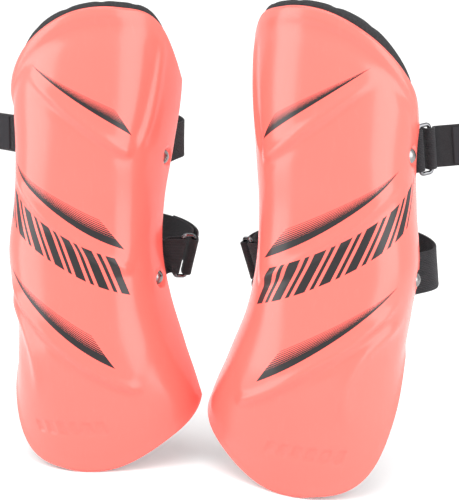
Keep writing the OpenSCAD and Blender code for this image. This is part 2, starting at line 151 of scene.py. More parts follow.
# The printed slashes: tail, tip and upper corner as (distance round, height), and how far they bow.
SLASHES = [
    [(-38, 342), (55, 284), (39, 307), 1],
    [(-67, 262), (48, 189), (23, 219), 8],
    [(-68, 171), (46, 92), (23, 123), 5.5],
]
PRINT_SPAN = 400
CLOTH_SPAN = 100
PAD_COLUMNS = 72
PAD_ROWS = 110
PAD_MARGIN = 0.2
PAD_SLACK = 1.6
CHANNEL_PRESS = 0.28
SWELL_FRAMES = 20
HOOK_BACKING = 0.5


def step01(s):
    c = np.clip(s, 0, 1)
    return c * c * (3 - 2 * c)


def unit(v):
    v = np.asarray(v, float)
    return v / np.linalg.norm(v, axis=-1, keepdims=True)


def across(v, n):
    v, n = np.asarray(v, float), np.asarray(n, float)
    return unit(v - (v * n).sum(-1, keepdims=True) * n)


def along(places, values, at):
    """Smooth value at a place, through the values given at the places, and straight beyond them."""
    x, v, at = np.asarray(places, float), np.asarray(values, float), np.asarray(at, float)
    last = len(x) - 1
    low, high = np.maximum(np.arange(last + 1) - 1, 0), np.minimum(np.arange(last + 1) + 1, last)
    shape = (-1,) + (1,) * (v.ndim - 1)
    slopes = (v[high] - v[low]) / (x[high] - x[low]).reshape(shape)
    i = np.clip(np.searchsorted(x, at, side="right") - 1, 0, last - 1)
    h = x[i + 1] - x[i]
    s = np.clip((at - x[i]) / h, 0, 1)
    past = at - x[i] - s * h
    if v.ndim > 1:
        h, s, past = h[..., None], s[..., None], past[..., None]
    m0, m1 = slopes[i] * h, slopes[i + 1] * h
    curve = (2 * s**3 - 3 * s**2 + 1) * v[i] + (s**3 - 2 * s**2 + s) * m0
    curve = curve + (3 * s**2 - 2 * s**3) * v[i + 1] + (s**3 - s**2) * m1
    return curve + past * np.where(s < 0.5, m0, m1) / h


def face_point(angle, z, inset=0.0):
    """A point at an angle round the guard and a height, set in from the shell's outer face."""
    angle, z = np.broadcast_arrays(np.asarray(angle, float), np.asarray(z, float))
    crest = along(SECTION_Z, CREST_Y, z) + inset
    outer = angle < 0
    half = np.where(outer, along(SECTION_Z, OUTER_X, z), along(SECTION_Z, INNER_X, z)) - inset
    back = np.where(outer, along(SECTION_Z, OUTER_Y, z), along(SECTION_Z, INNER_Y, z))
    power = 2 / along(SECTION_Z, SQUARENESS, z)
    turn = np.radians(angle)
    side = np.sign(angle) * np.abs(np.sin(turn)) ** power
    depth = np.clip(np.cos(turn), 0, 1) ** power
    return np.stack([half * side, back - (back - crest) * depth, z], -1)


def top_z(angle):
    return along(RIM_ANGLE, TOP_Z, angle)


def bottom_z(angle):
    return along(RIM_ANGLE, BOTTOM_Z, angle)


def liner_top_z(angle):
    return top_z(angle) + along(RIM_ANGLE, LINER_RISE, angle)


def liner_angle(z):
    return LINER_ANGLE + LINER_FLARE * step01((z - FLARE_Z[0]) / (FLARE_Z[1] - FLARE_Z[0]))


def round_table():
    """Distance round the face from the crest, at whole degrees and every 4 mm of height."""
    angles, heights = np.linspace(-90, 90, 181), np.arange(-8, 404, 4.0)
    points = face_point(angles[None, :], heights[:, None])
    steps = np.linalg.norm(np.diff(points, axis=1), axis=2)
    total = np.concatenate([np.zeros((len(heights), 1)), np.cumsum(steps, 1)], 1)
    return heights, total - total[:, 90:91]


ROUND_HEIGHTS, ROUND_TABLE = round_table()


def distance_round(angle, z):
    column = np.clip(angle + 90, 0, 179.999)
    row = np.clip((z - ROUND_HEIGHTS[0]) / 4, 0, len(ROUND_HEIGHTS) - 1.001)
    c, r = column.astype(int), row.astype(int)
    fc, fr = column - c, row - r
    low = ROUND_TABLE[r, c] * (1 - fc) + ROUND_TABLE[r, c + 1] * fc
    high = ROUND_TABLE[r + 1, c] * (1 - fc) + ROUND_TABLE[r + 1, c + 1] * fc
    return low * (1 - fr) + high * fr


# ---- Shapes of the shell's surface


def from_line(g, z, line):
    """Signed distance from a line of points, positive above it, and the nearest point's share along it."""
    line = along(np.arange(len(line)), np.array(line, float), np.linspace(0, len(line) - 1, 5 * len(line)))
    best = np.full(g.shape, 1e9)
    sign = np.ones(g.shape)
    share = np.zeros(g.shape)
    for k in range(len(line) - 1):
        a, d = line[k], line[k + 1] - line[k]
        length = math.hypot(*d)
        t = np.clip(((g - a[0]) * d[0] + (z - a[1]) * d[1]) / length**2, 0, 1)
        dx, dz = g - a[0] - t * d[0], z - a[1] - t * d[1]
        gap = np.hypot(dx, dz)
        nearer = gap < best
        best = np.where(nearer, gap, best)
        sign = np.where(nearer, np.sign(d[0] * dz - d[1] * dx), sign)
        share = np.where(nearer, (k + t) / (len(line) - 1), share)
    return best * np.where(sign == 0, 1, sign), share


def fade(share, start, end):
    """1 along the middle of a line, and 0 at its two ends."""
    return step01(share / start) * step01((1 - share) / end)


def relief(angle, z):
    """How far the moulded face stands out from the smooth one."""
    g = distance_round(angle, z)
    out = np.zeros(g.shape)
    for line, height in zip(RIDGES, RIDGE_HEIGHT):
        d, share = from_line(g, z, line)
        edge = fade(share, 0.22, 0.1)
        out += height * edge * np.exp(-((d / 4.2) ** 2))
        plate = np.where(d > 0, np.exp(-((d / 26) ** 2)), 1 - step01(-d / 6))
        out += 0.75 * height * edge * plate
        out -= 0.5 * edge * np.exp(-(((d + 8) / 4) ** 2))
    d, share = from_line(g, z, VEE)
    out += fade(share, 0.15, 0.3) * (1.3 * np.exp(-((d / 5) ** 2)) - 0.8 * np.exp(-(((d - 9) / 6) ** 2)))
    d, share = from_line(g, z, HOLLOW)
    edge = fade(share, 0.25, 0.25)
    out += edge * (2.0 * np.exp(-(((d - 3) / 6) ** 2)) - 1.1 * np.exp(-(((d + 13) / 13) ** 2)))
    below = top_z(angle) - z
    lip = step01((angle + 84) / 20) * (1 - step01((angle - 20) / 40))
    out += lip * (1.9 * (1 - step01((below - 6) / 9)) - 0.7 * np.exp(-(((below - 19) / 7) ** 2)))
    foot = z - bottom_z(angle)
    out += 0.9 * (1 - step01(foot / 12))
    return out + badge(g, z)


def badge(g, z):
    """A sunk row of plain slanted bars near the foot."""
    middle = 37 + 0.05 * g
    slant = g - 4 + 0.45 * (z - middle)
    bar = np.abs((slant / 11.5) % 1 - 0.5) * 11.5
    inside = (1 - step01((bar - 3.0) / 1.2)) * (1 - step01((np.abs(z - middle) - 4.4) / 1.2))
    return -1.1 * inside * (1 - step01((np.abs(slant) - 33) / 1.5))


def rivet_frames():
    """The place of each rivet and the way into the guard there."""
    found = []
    for rivets in (UPPER_RIVETS, LOWER_RIVETS):
        axis = unit(rivets[1] - rivets[0])
        found += [(rivets[0], axis), (rivets[1], -axis)]
    return found


def shell_points():
    """Outer and inner grids of the shell, with the print's coordinates for the outer one."""
    angle = np.linspace(-89.2, 89.2, SHELL_COLUMNS + 1)[None, :]
    share = np.linspace(0, 1, SHELL_ROWS + 1)[:, None]
    edge = SHELL_WALL / 2
    low, high = bottom_z(angle) + edge, top_z(angle) - edge
    angle = angle + 0 * share
    z = low + (high - low) * share
    smooth, inner = face_point(angle, z), face_point(angle, z, SHELL_WALL)
    normal = grid_normals(smooth)
    outer = smooth + relief(angle, z)[..., None] * normal
    for place, inward in rivet_frames():
        away = outer - place
        depth = away @ inward
        radius = np.linalg.norm(away - depth[..., None] * inward, axis=-1)
        near = (1 - step01((radius - SEAT_D / 2 + 0.2) / 2.2)) * (np.abs(depth) < 25)
        outer = outer + (near * (SEAT_DEPTH - depth))[..., None] * inward
    return outer, inner, np.stack([distance_round(angle, z), z], -1)


def grid_normals(grid):
    """Directions out of a grid whose columns run round from the outer side and whose rows run up."""
    du = np.gradient(grid, axis=1)
    dv = np.gradient(grid, axis=0)
    return unit(np.cross(du, dv))


def closed_wall(outer, inner, steps):
    """Points and faces of a wall between two grids, with its rim rounded."""
    rows, columns = outer.shape[:2]
    count = rows * columns
    points = [outer.reshape(-1, 3), inner.reshape(-1, 3)]
    index = np.arange(count).reshape(rows, columns)
    faces = []
    a, b, c, d = index[:-1, :-1], index[:-1, 1:], index[1:, 1:], index[1:, :-1]
    front = np.stack([a, b, c, d], -1).reshape(-1, 4)
    faces += front.tolist()
    faces += (front[:, ::-1] + count).tolist()
    rim = np.concatenate([index[0, :-1], index[:-1, -1], index[-1, :0:-1], index[:0:-1, 0]])
    flat_outer, flat_inner = points[0], points[1]
    middle = (flat_outer[rim] + flat_inner[rim]) / 2
    half = (flat_outer[rim] - flat_inner[rim]) / 2
    tangent = np.roll(middle, -1, 0) - np.roll(middle, 1, 0)
    away = unit(np.cross(tangent, half)) * np.linalg.norm(half, axis=1, keepdims=True)
    loops = [rim]
    start = 2 * count
    for k in range(1, steps):
        turn = math.pi * k / steps
        points.append(middle + math.cos(turn) * half + math.sin(turn) * away)
        loops.append(start + np.arange(len(rim)))
        start += len(rim)
    loops.append(rim + count)
    for first, second in zip(loops[:-1], loops[1:]):
        one, two = np.roll(first, -1), np.roll(second, -1)
        faces += np.stack([first, second, two, one], -1).tolist()
    return np.concatenate(points), faces


def lathe(profile, place, axis, steps=40):
    """A closed turned shape: the profile's (radius, distance along the axis) points swept round the axis."""
    side = across([0, 0, 1], axis)
    other = np.cross(axis, side)
    points, faces = [], []
    for radius, far in profile:
        for k in range(steps):
            turn = 2 * math.pi * k / steps
            points.append(place + far * axis + radius * (math.cos(turn) * side + math.sin(turn) * other))
    for j in range(len(profile) - 1):
        for k in range(steps):
            a, b = j * steps + k, j * steps + (k + 1) % steps
            faces.append([a, b, b + steps, a + steps])
    faces.append(list(range(steps))[::-1])
    faces.append([(len(profile) - 1) * steps + k for k in range(steps)])
    return np.array(points), faces


# ---- Webbing lines, as in the CAD source


def axis_of(rivets):
    return unit(rivets[1] - rivets[0])


def up_of(rivets):
    return across([0, 0, 1], axis_of(rivets))


def back_of(rivets):
    return np.cross(up_of(rivets), axis_of(rivets))


def by_rivet(rivets, side, depth):
    return rivets[side] + depth * (1 if side == 0 else -1) * axis_of(rivets)


def bar_dir(ring):
    return unit(ring[1])


def ring_dir(ring):
    return across(ring[2], bar_dir(ring))


def tab_bar(ring):
    return ring[0] - ring_dir(ring) * RING_PITCH / 2


def strap_bar(ring):
    return ring[0] + ring_dir(ring) * RING_PITCH / 2


def riveted_dir(rivets, run, rise):
    return unit(run * back_of(rivets) + rise * up_of(rivets))


def riveted_up(rivets, run, rise):
    return np.cross(axis_of(rivets), riveted_dir(rivets, run, rise))


def riveted_end(rivets, side, depth, run, rise):
    places = np.array([-END_L, END_CHAMFER - END_L, run / 2, run])
    return by_rivet(rivets, side, depth) + places[:, None] * riveted_dir(rivets, run, rise)


def strap_back(ring, run):
    return across(np.array(run[-1]) - strap_bar(ring), bar_dir(ring))


def leg_side(ring, run):
    n = np.cross(bar_dir(ring), strap_back(ring, run))
    return n * np.sign(-n[0] * ring[0][0])


def fold_line(ring, run):
    c, n, b = strap_bar(ring), leg_side(ring, run), strap_back(ring, run)
    turns = np.radians(np.arange(0, 181, 12))
    arc = [c + FOLD_R * (math.cos(a) * n - math.sin(a) * b) for a in turns]
    return np.array([c + FOLD_R * n + 5 * b] + arc + [c - FOLD_R * n + FOLD_END * b])


def smooth_line(points, steps):
    points = np.array(points, float)
    last = len(points) - 1
    return along(np.arange(len(points)), points, np.linspace(0, last, last * steps + 1))


def strap_path(rivets, side, rise, run, ring, steps=12):
    """Middle line, upward directions and widths of a strap from its rivet to the end of its fold."""
    depth = BOSS_END + STACK_GAP + WEB_T / 2
    end = riveted_end(rivets, side, depth, STRAP_RUN, rise)
    fold = fold_line(ring, run)
    curve = smooth_line([end[3], *run, fold[0]], steps)
    line = np.concatenate([end[:3], curve, fold[1:]])
    start, bar = riveted_up(rivets, STRAP_RUN, rise), bar_dir(ring)
    share = step01(np.linspace(0, 1, len(curve)))[:, None]
    up = np.concatenate([[start] * 3, unit(start + (bar - start) * share), [bar] * (len(fold) - 1)])
    return line, up, np.array([END_W] + [WEB_W] * (len(line) - 1))


def tab_path(rivets, side, straight, rise, ring, lead, steps=24):
    """Middle line, upward directions and widths of the folded tab, round the ring's bar and back."""
    depth = BOSS_END + STACK_GAP + WEB_T + LAYER_GAP
    end = riveted_end(rivets, side, depth, straight, rise)
    start_up, bar = riveted_up(rivets, straight, rise), bar_dir(ring)
    stop = tab_bar(ring)
    reach = np.linalg.norm(stop - end[3]) * TAB_PULL
    p1 = end[3] + across(end[3] - end[0], axis_of(rivets)) * reach
    p2 = stop - ring_dir(ring) * reach
    s = np.linspace(0, 1, steps + 1)[:, None]
    curve = (1 - s) ** 3 * end[3] + 3 * s * (1 - s) ** 2 * p1 + 3 * s**2 * (1 - s) * p2 + s**3 * stop
    middle = np.concatenate([end[:3], curve])
    share = np.concatenate([np.zeros(3), s[:, 0]])
    up = unit(start_up + (bar - start_up) * step01(share)[:, None])
    run = unit(np.gradient(middle, axis=0))
    run[-1] = ring_dir(ring)
    opening = step01((share - 1 + OPEN_SHARE + lead / 12) / OPEN_SHARE)
    shift = WEB_T / 2 + LAYER_GAP + (EYE_R - LAYER_GAP) * opening
    side_way = unit(np.cross(up, run)) * shift[:, None]
    n = np.cross(bar, ring_dir(ring))
    turns = np.radians(np.arange(15, 166, 15))
    reach = EYE_R + WEB_T / 2
    eye = np.array([stop + reach * (math.cos(a) * n + math.sin(a) * ring_dir(ring)) for a in turns])
    line = np.concatenate([middle + side_way, eye, (middle - side_way)[::-1]])
    ups = np.concatenate([up, [bar] * len(eye), up[::-1]])
    widths = np.full(len(line), float(WEB_W))
    widths[[0, -1]] = END_W
    return line, ups, widths


def tail_hinge(ring, run):
    return strap_bar(ring) - FOLD_R * leg_side(ring, run) + (FOLD_END + HINGE_GAP) * strap_back(ring, run)


def upper_tail_points():
    start = tail_hinge(UPPER_RING, UPPER_RUN)
    out = across([-0.98, 0.12, -0.03], bar_dir(UPPER_RING))
    return np.array([start + s * UPPER_TAIL_L * out for s in (0, 0.5, 1)])


def lower_tail_points():
    line = smooth_line([*LOWER_RUN, fold_line(LOWER_RING, LOWER_RUN)[0]], CAD_STEPS)
    last = len(line) - 1
    rest = WEB_T + HOOK_T + HOOK_GAP + TAIL_GAP
    bar = bar_dir(LOWER_RING)
    points = [tail_hinge(LOWER_RING, LOWER_RUN)]
    for k in range(1, TAIL_SAMPLES + 1):
        here = line[last - k]
        run = unit(line[last - k + 1] - line[last - k - 1])
        out = across(np.cross(run, bar), run)
        gap = rest + (2 * FOLD_R - rest) * (1 - step01((k + 1) / 5))
        points.append(here + out * gap * np.sign(out @ (here - np.array([0, 20, here[2]]))))
    return np.array(points)


def tail_path(points, ring, run):
    """A tail's middle line from the end of the fold, with the bend at its hinge rounded."""
    start = fold_line(ring, run)[-1]
    out = unit(points[1] - points[0])
    s = np.linspace(0, 1, 7)[:, None]
    knee = (1 - s) ** 2 * start + 2 * s * (1 - s) * points[0] + s**2 * (points[0] + 3.2 * out)
    rest = smooth_line([points[0] + 3.2 * out, *points[1:]], 8)
    line = np.concatenate([knee, rest[1:]])
    return line, np.array([bar_dir(ring)] * len(line)), np.full(len(line), float(WEB_W))


# ---- Meshes from lines and grids


def band_frames(line, up):
    run = unit(np.gradient(line, axis=0))
    width = across(up, run)
    return run, width, np.cross(run, width)


def even_line(line, up, widths, pitch):
    """The same line with points at an even pitch."""
    steps = np.linalg.norm(np.diff(line, axis=0), axis=1)
    far = np.concatenate([[0], np.cumsum(steps)])
    places = np.unique(np.concatenate([np.linspace(0, far[-1], max(4, int(far[-1] / pitch))), far]))
    keep = np.concatenate([[True], np.diff(places) > 0.25])
    places = places[keep]
    line = np.stack([np.interp(places, far, line[:, k]) for k in range(3)], -1)
    up = unit(np.stack([np.interp(places, far, up[:, k]) for k in range(3)], -1))
    return line, up, np.interp(places, far, widths), places


def band_section():
    """Half of a webbing section, from edge to edge: shares of half width and half thickness."""
    place = np.array([-1, -0.985, -0.955, -0.9, -0.84, -0.78, -0.6, -0.35, -0.12])
    place = np.concatenate([place, -place[::-1]])
    rim = np.sqrt(np.clip(1 - ((np.abs(place) - 0.955) / 0.045).clip(0, 1) ** 2, 0, 1))
    selvedge = np.exp(-(((np.abs(place) - 0.9) / 0.05) ** 2))
    return place, rim * (0.9 + 0.1 * selvedge)


def band_mesh(line, up, widths, thick, pitch=2.2, wave=0.0):
    """Points, faces and (length, across) coordinates of a band with rounded, slightly thicker edges."""
    line, up, widths, far = even_line(line, up, widths, pitch)
    _, width, out = band_frames(line, up)
    place, rise = band_section()
    side = np.concatenate([place, place[-2:0:-1]])
    height = np.concatenate([-rise, rise[-2:0:-1]])
    count = len(side)
    ripple = wave * np.sin(far / 5.1)[:, None] * side[None, :] * np.abs(side[None, :])
    points = (
        line[:, None, :]
        + (side[None, :] * widths[:, None] / 2)[..., None] * width[:, None, :]
        + (height[None, :] * thick / 2 + ripple)[..., None] * out[:, None, :]
    )
    faces = []
    for i in range(len(line) - 1):
        for k in range(count):
            a, b = i * count + k, i * count + (k + 1) % count
            faces.append([a, b, b + count, a + count])
    faces.append(list(range(count))[::-1])
    faces.append([(len(line) - 1) * count + k for k in range(count)])
    cloth = np.stack([far[:, None] + 0 * side[None, :], side[None, :] * widths[:, None] / 2], -1)
    return points.reshape(-1, 3), faces, cloth.reshape(-1, 2)


def on_band(line, up, thick, places, sides, face):
    """Points on a face of a band: distances along it, distances across it, and which face, -1 or 1."""
    steps = np.linalg.norm(np.diff(line, axis=0), axis=1)
    far = np.concatenate([[0], np.cumsum(steps)])
    _, width, out = band_frames(line, up)
    at = np.clip(places, 0, far[-1])
    base, w, o = (
        np.stack([np.interp(at, far, v[:, k]) for k in range(3)], -1) for v in (line, width, out)
    )
    return base + np.asarray(sides)[:, None] * w + face * (thick / 2) * o


def mirrored(points):
    other = np.array(points, float)
    other[..., 0] = GUARD_SPACING - other[..., 0]
    return other


def make_mesh(name, points, faces, material, cloth=None, side="left", span=100.0):
    """A new object in metres from points in millimetres, mirrored for the right guard."""
    if side == "right":
        points, faces = mirrored(points), [list(f)[::-1] for f in faces]
    mesh = bpy.data.meshes.new(name)
    mesh.from_pydata((np.asarray(points) * MM).tolist(), [], faces)
    if cloth is not None:
        layer = mesh.uv_layers.new(name="Cloth")
        corner = np.zeros(len(mesh.loops), np.int32)
        mesh.loops.foreach_get("vertex_index", corner)
        layer.data.foreach_set("uv", (np.asarray(cloth)[corner] / span).astype(np.float32).ravel())
    mesh.shade_smooth()
    mesh.validate()
    mesh.materials.append(material)
    piece = bpy.data.objects.new(name, mesh)
    bpy.context.scene.collection.objects.link(piece)
    return piece


def joined(parts):
    """Points and faces of several parts as one."""
    points, faces, start = [], [], 0
    for p, f in parts:
        points.append(p)
        faces += [[i + start for i in face] for face in f]
        start += len(p)
    return np.concatenate(points), faces


# ---- Building node trees


def calc(tree, kind, *values):
    """A Math node on sockets or numbers."""
    step = tree.nodes.new("ShaderNodeMath")
    step.operation = kind
    for place, value in enumerate(values):
        feed(tree, step.inputs[place], value)
    return step.outputs[0]


def feed(tree, socket, value):
    if isinstance(value, bpy.types.NodeSocket):
        tree.links.new(value, socket)
    else:
        socket.default_value = value


def new_group(name, inputs, outputs):
    """A shader node group with float inputs (name: default) and outputs (name: kind)."""
    tree = bpy.data.node_groups.new(name, "ShaderNodeTree")
    for label, value in inputs.items():
        kind = "NodeSocketVector" if isinstance(value, tuple) else "NodeSocketFloat"
        made = tree.interface.new_socket(name=label, in_out="INPUT", socket_type=kind)
        made.default_value = value
    for label, kind in outputs.items():
        tree.interface.new_socket(name=label, in_out="OUTPUT", socket_type=kind)
    start, end = tree.nodes.new("NodeGroupInput"), tree.nodes.new("NodeGroupOutput")
    return tree, start.outputs, end.inputs


def slash_group():
    """A pointed slash: solid along its lower edge, and fine lines that thin out towards its upper edge."""
    tree, given, out = new_group(
        "Printed Slash",
        {
            "Round": 0.0, "Up": 0.0, "Tail Round": 0.0, "Tail Up": 0.0, "Tip Round": 1.0, "Tip Up": 0.0,
            "Corner Round": 1.0, "Corner Up": 1.0, "Bow": 0.0, "Lines": 11.0, "Solid": 1.32,
        },
        {"Mask": "NodeSocketFloat"},
    )
    g, z, tg, tz = given["Round"], given["Up"], given["Tail Round"], given["Tail Up"]
    pg, pz, cg, cz = given["Tip Round"], given["Tip Up"], given["Corner Round"], given["Corner Up"]
    ahead = calc(tree, "SUBTRACT", g, tg)
    s = calc(tree, "DIVIDE", ahead, calc(tree, "SUBTRACT", pg, tg))
    hump = calc(tree, "MULTIPLY", calc(tree, "MULTIPLY", s, 4.0), calc(tree, "SUBTRACT", 1.0, s))
    bow = calc(tree, "MULTIPLY", hump, given["Bow"])
    straight = calc(tree, "MULTIPLY_ADD", s, calc(tree, "SUBTRACT", pz, tz), tz)
    lower = calc(tree, "SUBTRACT", straight, bow)
    slope = calc(tree, "DIVIDE", calc(tree, "SUBTRACT", cz, tz), calc(tree, "SUBTRACT", cg, tg))
    upper = calc(tree, "MULTIPLY_ADD", ahead, slope, tz)
    upper = calc(tree, "SUBTRACT", upper, calc(tree, "MULTIPLY", bow, 0.3))
    t = calc(tree, "DIVIDE", calc(tree, "SUBTRACT", z, lower), calc(tree, "SUBTRACT", upper, lower))
    stripe = calc(tree, "FRACT", calc(tree, "MULTIPLY", t, given["Lines"]))
    width = calc(tree, "MULTIPLY_ADD", t, -1.1, given["Solid"])
    ink = calc(tree, "LESS_THAN", stripe, width)
    cut_a = calc(tree, "MULTIPLY", calc(tree, "SUBTRACT", pg, cg), calc(tree, "SUBTRACT", z, cz))
    cut_b = calc(tree, "MULTIPLY", calc(tree, "SUBTRACT", pz, cz), calc(tree, "SUBTRACT", g, cg))
    inside = calc(tree, "LESS_THAN", cut_a, cut_b)
    for test in (
        calc(tree, "GREATER_THAN", t, 0.0),
        calc(tree, "LESS_THAN", t, 1.0),
        calc(tree, "GREATER_THAN", s, 0.0),
        calc(tree, "LESS_THAN", s, 1.0),
        ink,
    ):
        inside = calc(tree, "MULTIPLY", inside, test)
    tree.links.new(inside, out["Mask"])
    return tree


def bars_group():
    """A band of plain slanted bars, wide and narrow by turns."""
    tree, given, out = new_group(
        "Printed Bars",
        {
            "Round": 0.0, "Up": 0.0, "Middle": 184.0, "Slope": -0.45, "Bend": 0.0018, "Half Height": 13.5,
            "Slant": 0.6, "Pitch": 20.0, "Start": -86.0, "End": 48.0,
        },
        {"Mask": "NodeSocketFloat"},
    )
    g, z = given["Round"], given["Up"]
    line = calc(tree, "MULTIPLY_ADD", g, given["Slope"], given["Middle"])
    bent = calc(tree, "MULTIPLY_ADD", calc(tree, "MULTIPLY", g, g), given["Bend"], line)
    off = calc(tree, "SUBTRACT", z, bent)
    q = calc(tree, "MULTIPLY_ADD", off, given["Slant"], g)
    place = calc(tree, "FRACT", calc(tree, "DIVIDE", q, given["Pitch"]))
    wide = calc(tree, "LESS_THAN", place, 0.46)
    narrow = calc(tree, "LESS_THAN", calc(tree, "ABSOLUTE", calc(tree, "SUBTRACT", place, 0.73)), 0.09)
    ink = calc(tree, "MAXIMUM", wide, narrow)
    for test in (
        calc(tree, "LESS_THAN", calc(tree, "ABSOLUTE", off), given["Half Height"]),
        calc(tree, "GREATER_THAN", q, given["Start"]),
        calc(tree, "LESS_THAN", q, given["End"]),
    ):
        ink = calc(tree, "MULTIPLY", ink, test)
    tree.links.new(ink, out["Mask"])
    return tree


def grain_group():
    """Fine moulding grain with long faint rubs: a height for a bump, and a mask of rubbed places."""
    tree, given, out = new_group(
        "Moulding Grain",
        {"Place": (0.0, 0.0, 0.0), "Grain Scale": 900.0, "Rub Scale": 60.0, "Rub Stretch": 6.0},
        {"Height": "NodeSocketFloat", "Rubs": "NodeSocketFloat", "Drift": "NodeSocketFloat"},
    )
    grain = tree.nodes.new("ShaderNodeTexNoise")
    grain.inputs["Detail"].default_value = 3
    tree.links.new(given["Place"], grain.inputs["Vector"])
    tree.links.new(given["Grain Scale"], grain.inputs["Scale"])
    stretch = tree.nodes.new("ShaderNodeVectorMath")
    stretch.operation = "MULTIPLY"
    tree.links.new(given["Place"], stretch.inputs[0])
    combine = tree.nodes.new("ShaderNodeCombineXYZ")
    tree.links.new(given["Rub Stretch"], combine.inputs["X"])
    tree.links.new(given["Rub Stretch"], combine.inputs["Y"])
    combine.inputs["Z"].default_value = 1.0
    tree.links.new(combine.outputs[0], stretch.inputs[1])
    rub = tree.nodes.new("ShaderNodeTexNoise")
    rub.inputs["Detail"].default_value = 6
    rub.inputs["Distortion"].default_value = 0.6
    tree.links.new(stretch.outputs[0], rub.inputs["Vector"])
    tree.links.new(given["Rub Scale"], rub.inputs["Scale"])
    rubbed = tree.nodes.new("ShaderNodeMapRange")
    rubbed.inputs["From Min"].default_value = 0.58
    rubbed.inputs["From Max"].default_value = 0.78
    tree.links.new(rub.outputs["Fac"], rubbed.inputs["Value"])
    drift = tree.nodes.new("ShaderNodeTexNoise")
    drift.inputs["Scale"].default_value = 9.0
    drift.inputs["Detail"].default_value = 2
    tree.links.new(given["Place"], drift.inputs["Vector"])
    tree.links.new(grain.outputs["Fac"], out["Height"])
    tree.links.new(rubbed.outputs["Result"], out["Rubs"])
    tree.links.new(drift.outputs["Fac"], out["Drift"])
    return tree


def weave_group():
    """Woven tape: ribs along it crossed by picks, with fuzz. Along and Across are in millimetres. The colour
    output is lighter where ribs and fuzz stand up, a painted highlight, and darker in the grooves, a painted
    shade, over a random mottle.
    """
    tree, given, out = new_group(
        "Woven Tape",
        {"Along": 0.0, "Across": 0.0, "Rib Pitch": 1.5, "Pick Pitch": 1.2, "Rib Share": 0.65, "Fuzz": 0.3},
        {"Height": "NodeSocketFloat", "Shade And Mottle": "NodeSocketFloat"},
    )
    turn = 2 * math.pi
    ribs = calc(tree, "DIVIDE", given["Across"], given["Rib Pitch"])
    rib = calc(tree, "SINE", calc(tree, "MULTIPLY", ribs, turn))
    half_step = calc(tree, "FLOOR", calc(tree, "DIVIDE", given["Across"], given["Rib Pitch"]))
    picks = calc(tree, "DIVIDE", given["Along"], given["Pick Pitch"])
    moved = calc(tree, "MULTIPLY_ADD", half_step, 0.5, picks)
    pick = calc(tree, "SINE", calc(tree, "MULTIPLY", moved, turn))
    place = tree.nodes.new("ShaderNodeCombineXYZ")
    tree.links.new(given["Along"], place.inputs["X"])
    tree.links.new(given["Across"], place.inputs["Y"])
    fuzz = tree.nodes.new("ShaderNodeTexNoise")
    fuzz.inputs["Scale"].default_value = 1.4
    fuzz.inputs["Detail"].default_value = 4
    tree.links.new(place.outputs[0], fuzz.inputs["Vector"])
    woven = calc(tree, "MULTIPLY", rib, given["Rib Share"])
    woven = calc(tree, "MULTIPLY_ADD", pick, calc(tree, "SUBTRACT", 1.0, given["Rib Share"]), woven)
    height = calc(tree, "MULTIPLY_ADD", fuzz.outputs["Fac"], given["Fuzz"], woven)
    wide = tree.nodes.new("ShaderNodeTexNoise")
    wide.inputs["Scale"].default_value = 0.18
    wide.inputs["Detail"].default_value = 3
    tree.links.new(place.outputs[0], wide.inputs["Vector"])
    # Colour: painted highlight on the raised ribs, painted shade in the grooves, and a random mottle from
    # the wide noise.
    shade_and_mottle = calc(tree, "MULTIPLY_ADD", woven, 0.22, calc(tree, "MULTIPLY", wide.outputs["Fac"], 0.8))
    tree.links.new(height, out["Height"])
    # The fuzz adds more painted highlight where it stands up.
    tree.links.new(calc(tree, "MULTIPLY_ADD", fuzz.outputs["Fac"], 0.4, shade_and_mottle), out["Shade And Mottle"])
    return tree


def placed(tree, group, **given):
    """A group node in a material, with its inputs set or linked."""
    node = tree.nodes.new("ShaderNodeGroup")
    node.node_tree = bpy.data.node_groups[group]
    for label, value in given.items():
        feed(tree, node.inputs[label.replace("_", " ")], value)
    return node


def new_material(name):
    material = bpy.data.materials.new(name)
    material.use_nodes = True
    tree = material.node_tree
    shader = tree.nodes["Principled BSDF"]
    return material, tree, shader


def bumped(tree, shader, height, distance, strength=1.0, under=None):
    bump = tree.nodes.new("ShaderNodeBump")
    bump.inputs["Distance"].default_value = distance
    bump.inputs["Strength"].default_value = strength
    tree.links.new(height, bump.inputs["Height"])
    if under is not None:
        tree.links.new(under, bump.inputs["Normal"])
    tree.links.new(bump.outputs["Normal"], shader.inputs["Normal"])
    return bump.outputs["Normal"]


def mixed(tree, share, first, second):
    mix = tree.nodes.new("ShaderNodeMix")
    mix.data_type = "RGBA"
    feed(tree, mix.inputs["Factor"], share)
    for socket, value in ((mix.inputs[6], first), (mix.inputs[7], second)):
        if isinstance(value, bpy.types.NodeSocket):
            tree.links.new(value, socket)
        else:
            socket.default_value = (*value[:3], 1)
    return mix.outputs[2]


def span_of(tree, value, low, high):
    """The 0 to 1 value spread from low to high."""
    ranged = tree.nodes.new("ShaderNodeMapRange")
    ranged.inputs["To Min"].default_value = low
    ranged.inputs["To Max"].default_value = high
    tree.links.new(value, ranged.inputs["Value"])
    return ranged.outputs["Result"]


def object_place(tree):
    return tree.nodes.new("ShaderNodeTexCoord").outputs["Object"]


def cloth_place(tree, span):
    """The piece's own cloth coordinates in millimetres."""
    uv = tree.nodes.new("ShaderNodeUVMap")
    uv.uv_map = "Cloth"
    apart = tree.nodes.new("ShaderNodeSeparateXYZ")
    tree.links.new(uv.outputs["UV"], apart.inputs[0])
    return calc(tree, "MULTIPLY", apart.outputs["X"], span), calc(tree, "MULTIPLY", apart.outputs["Y"], span)


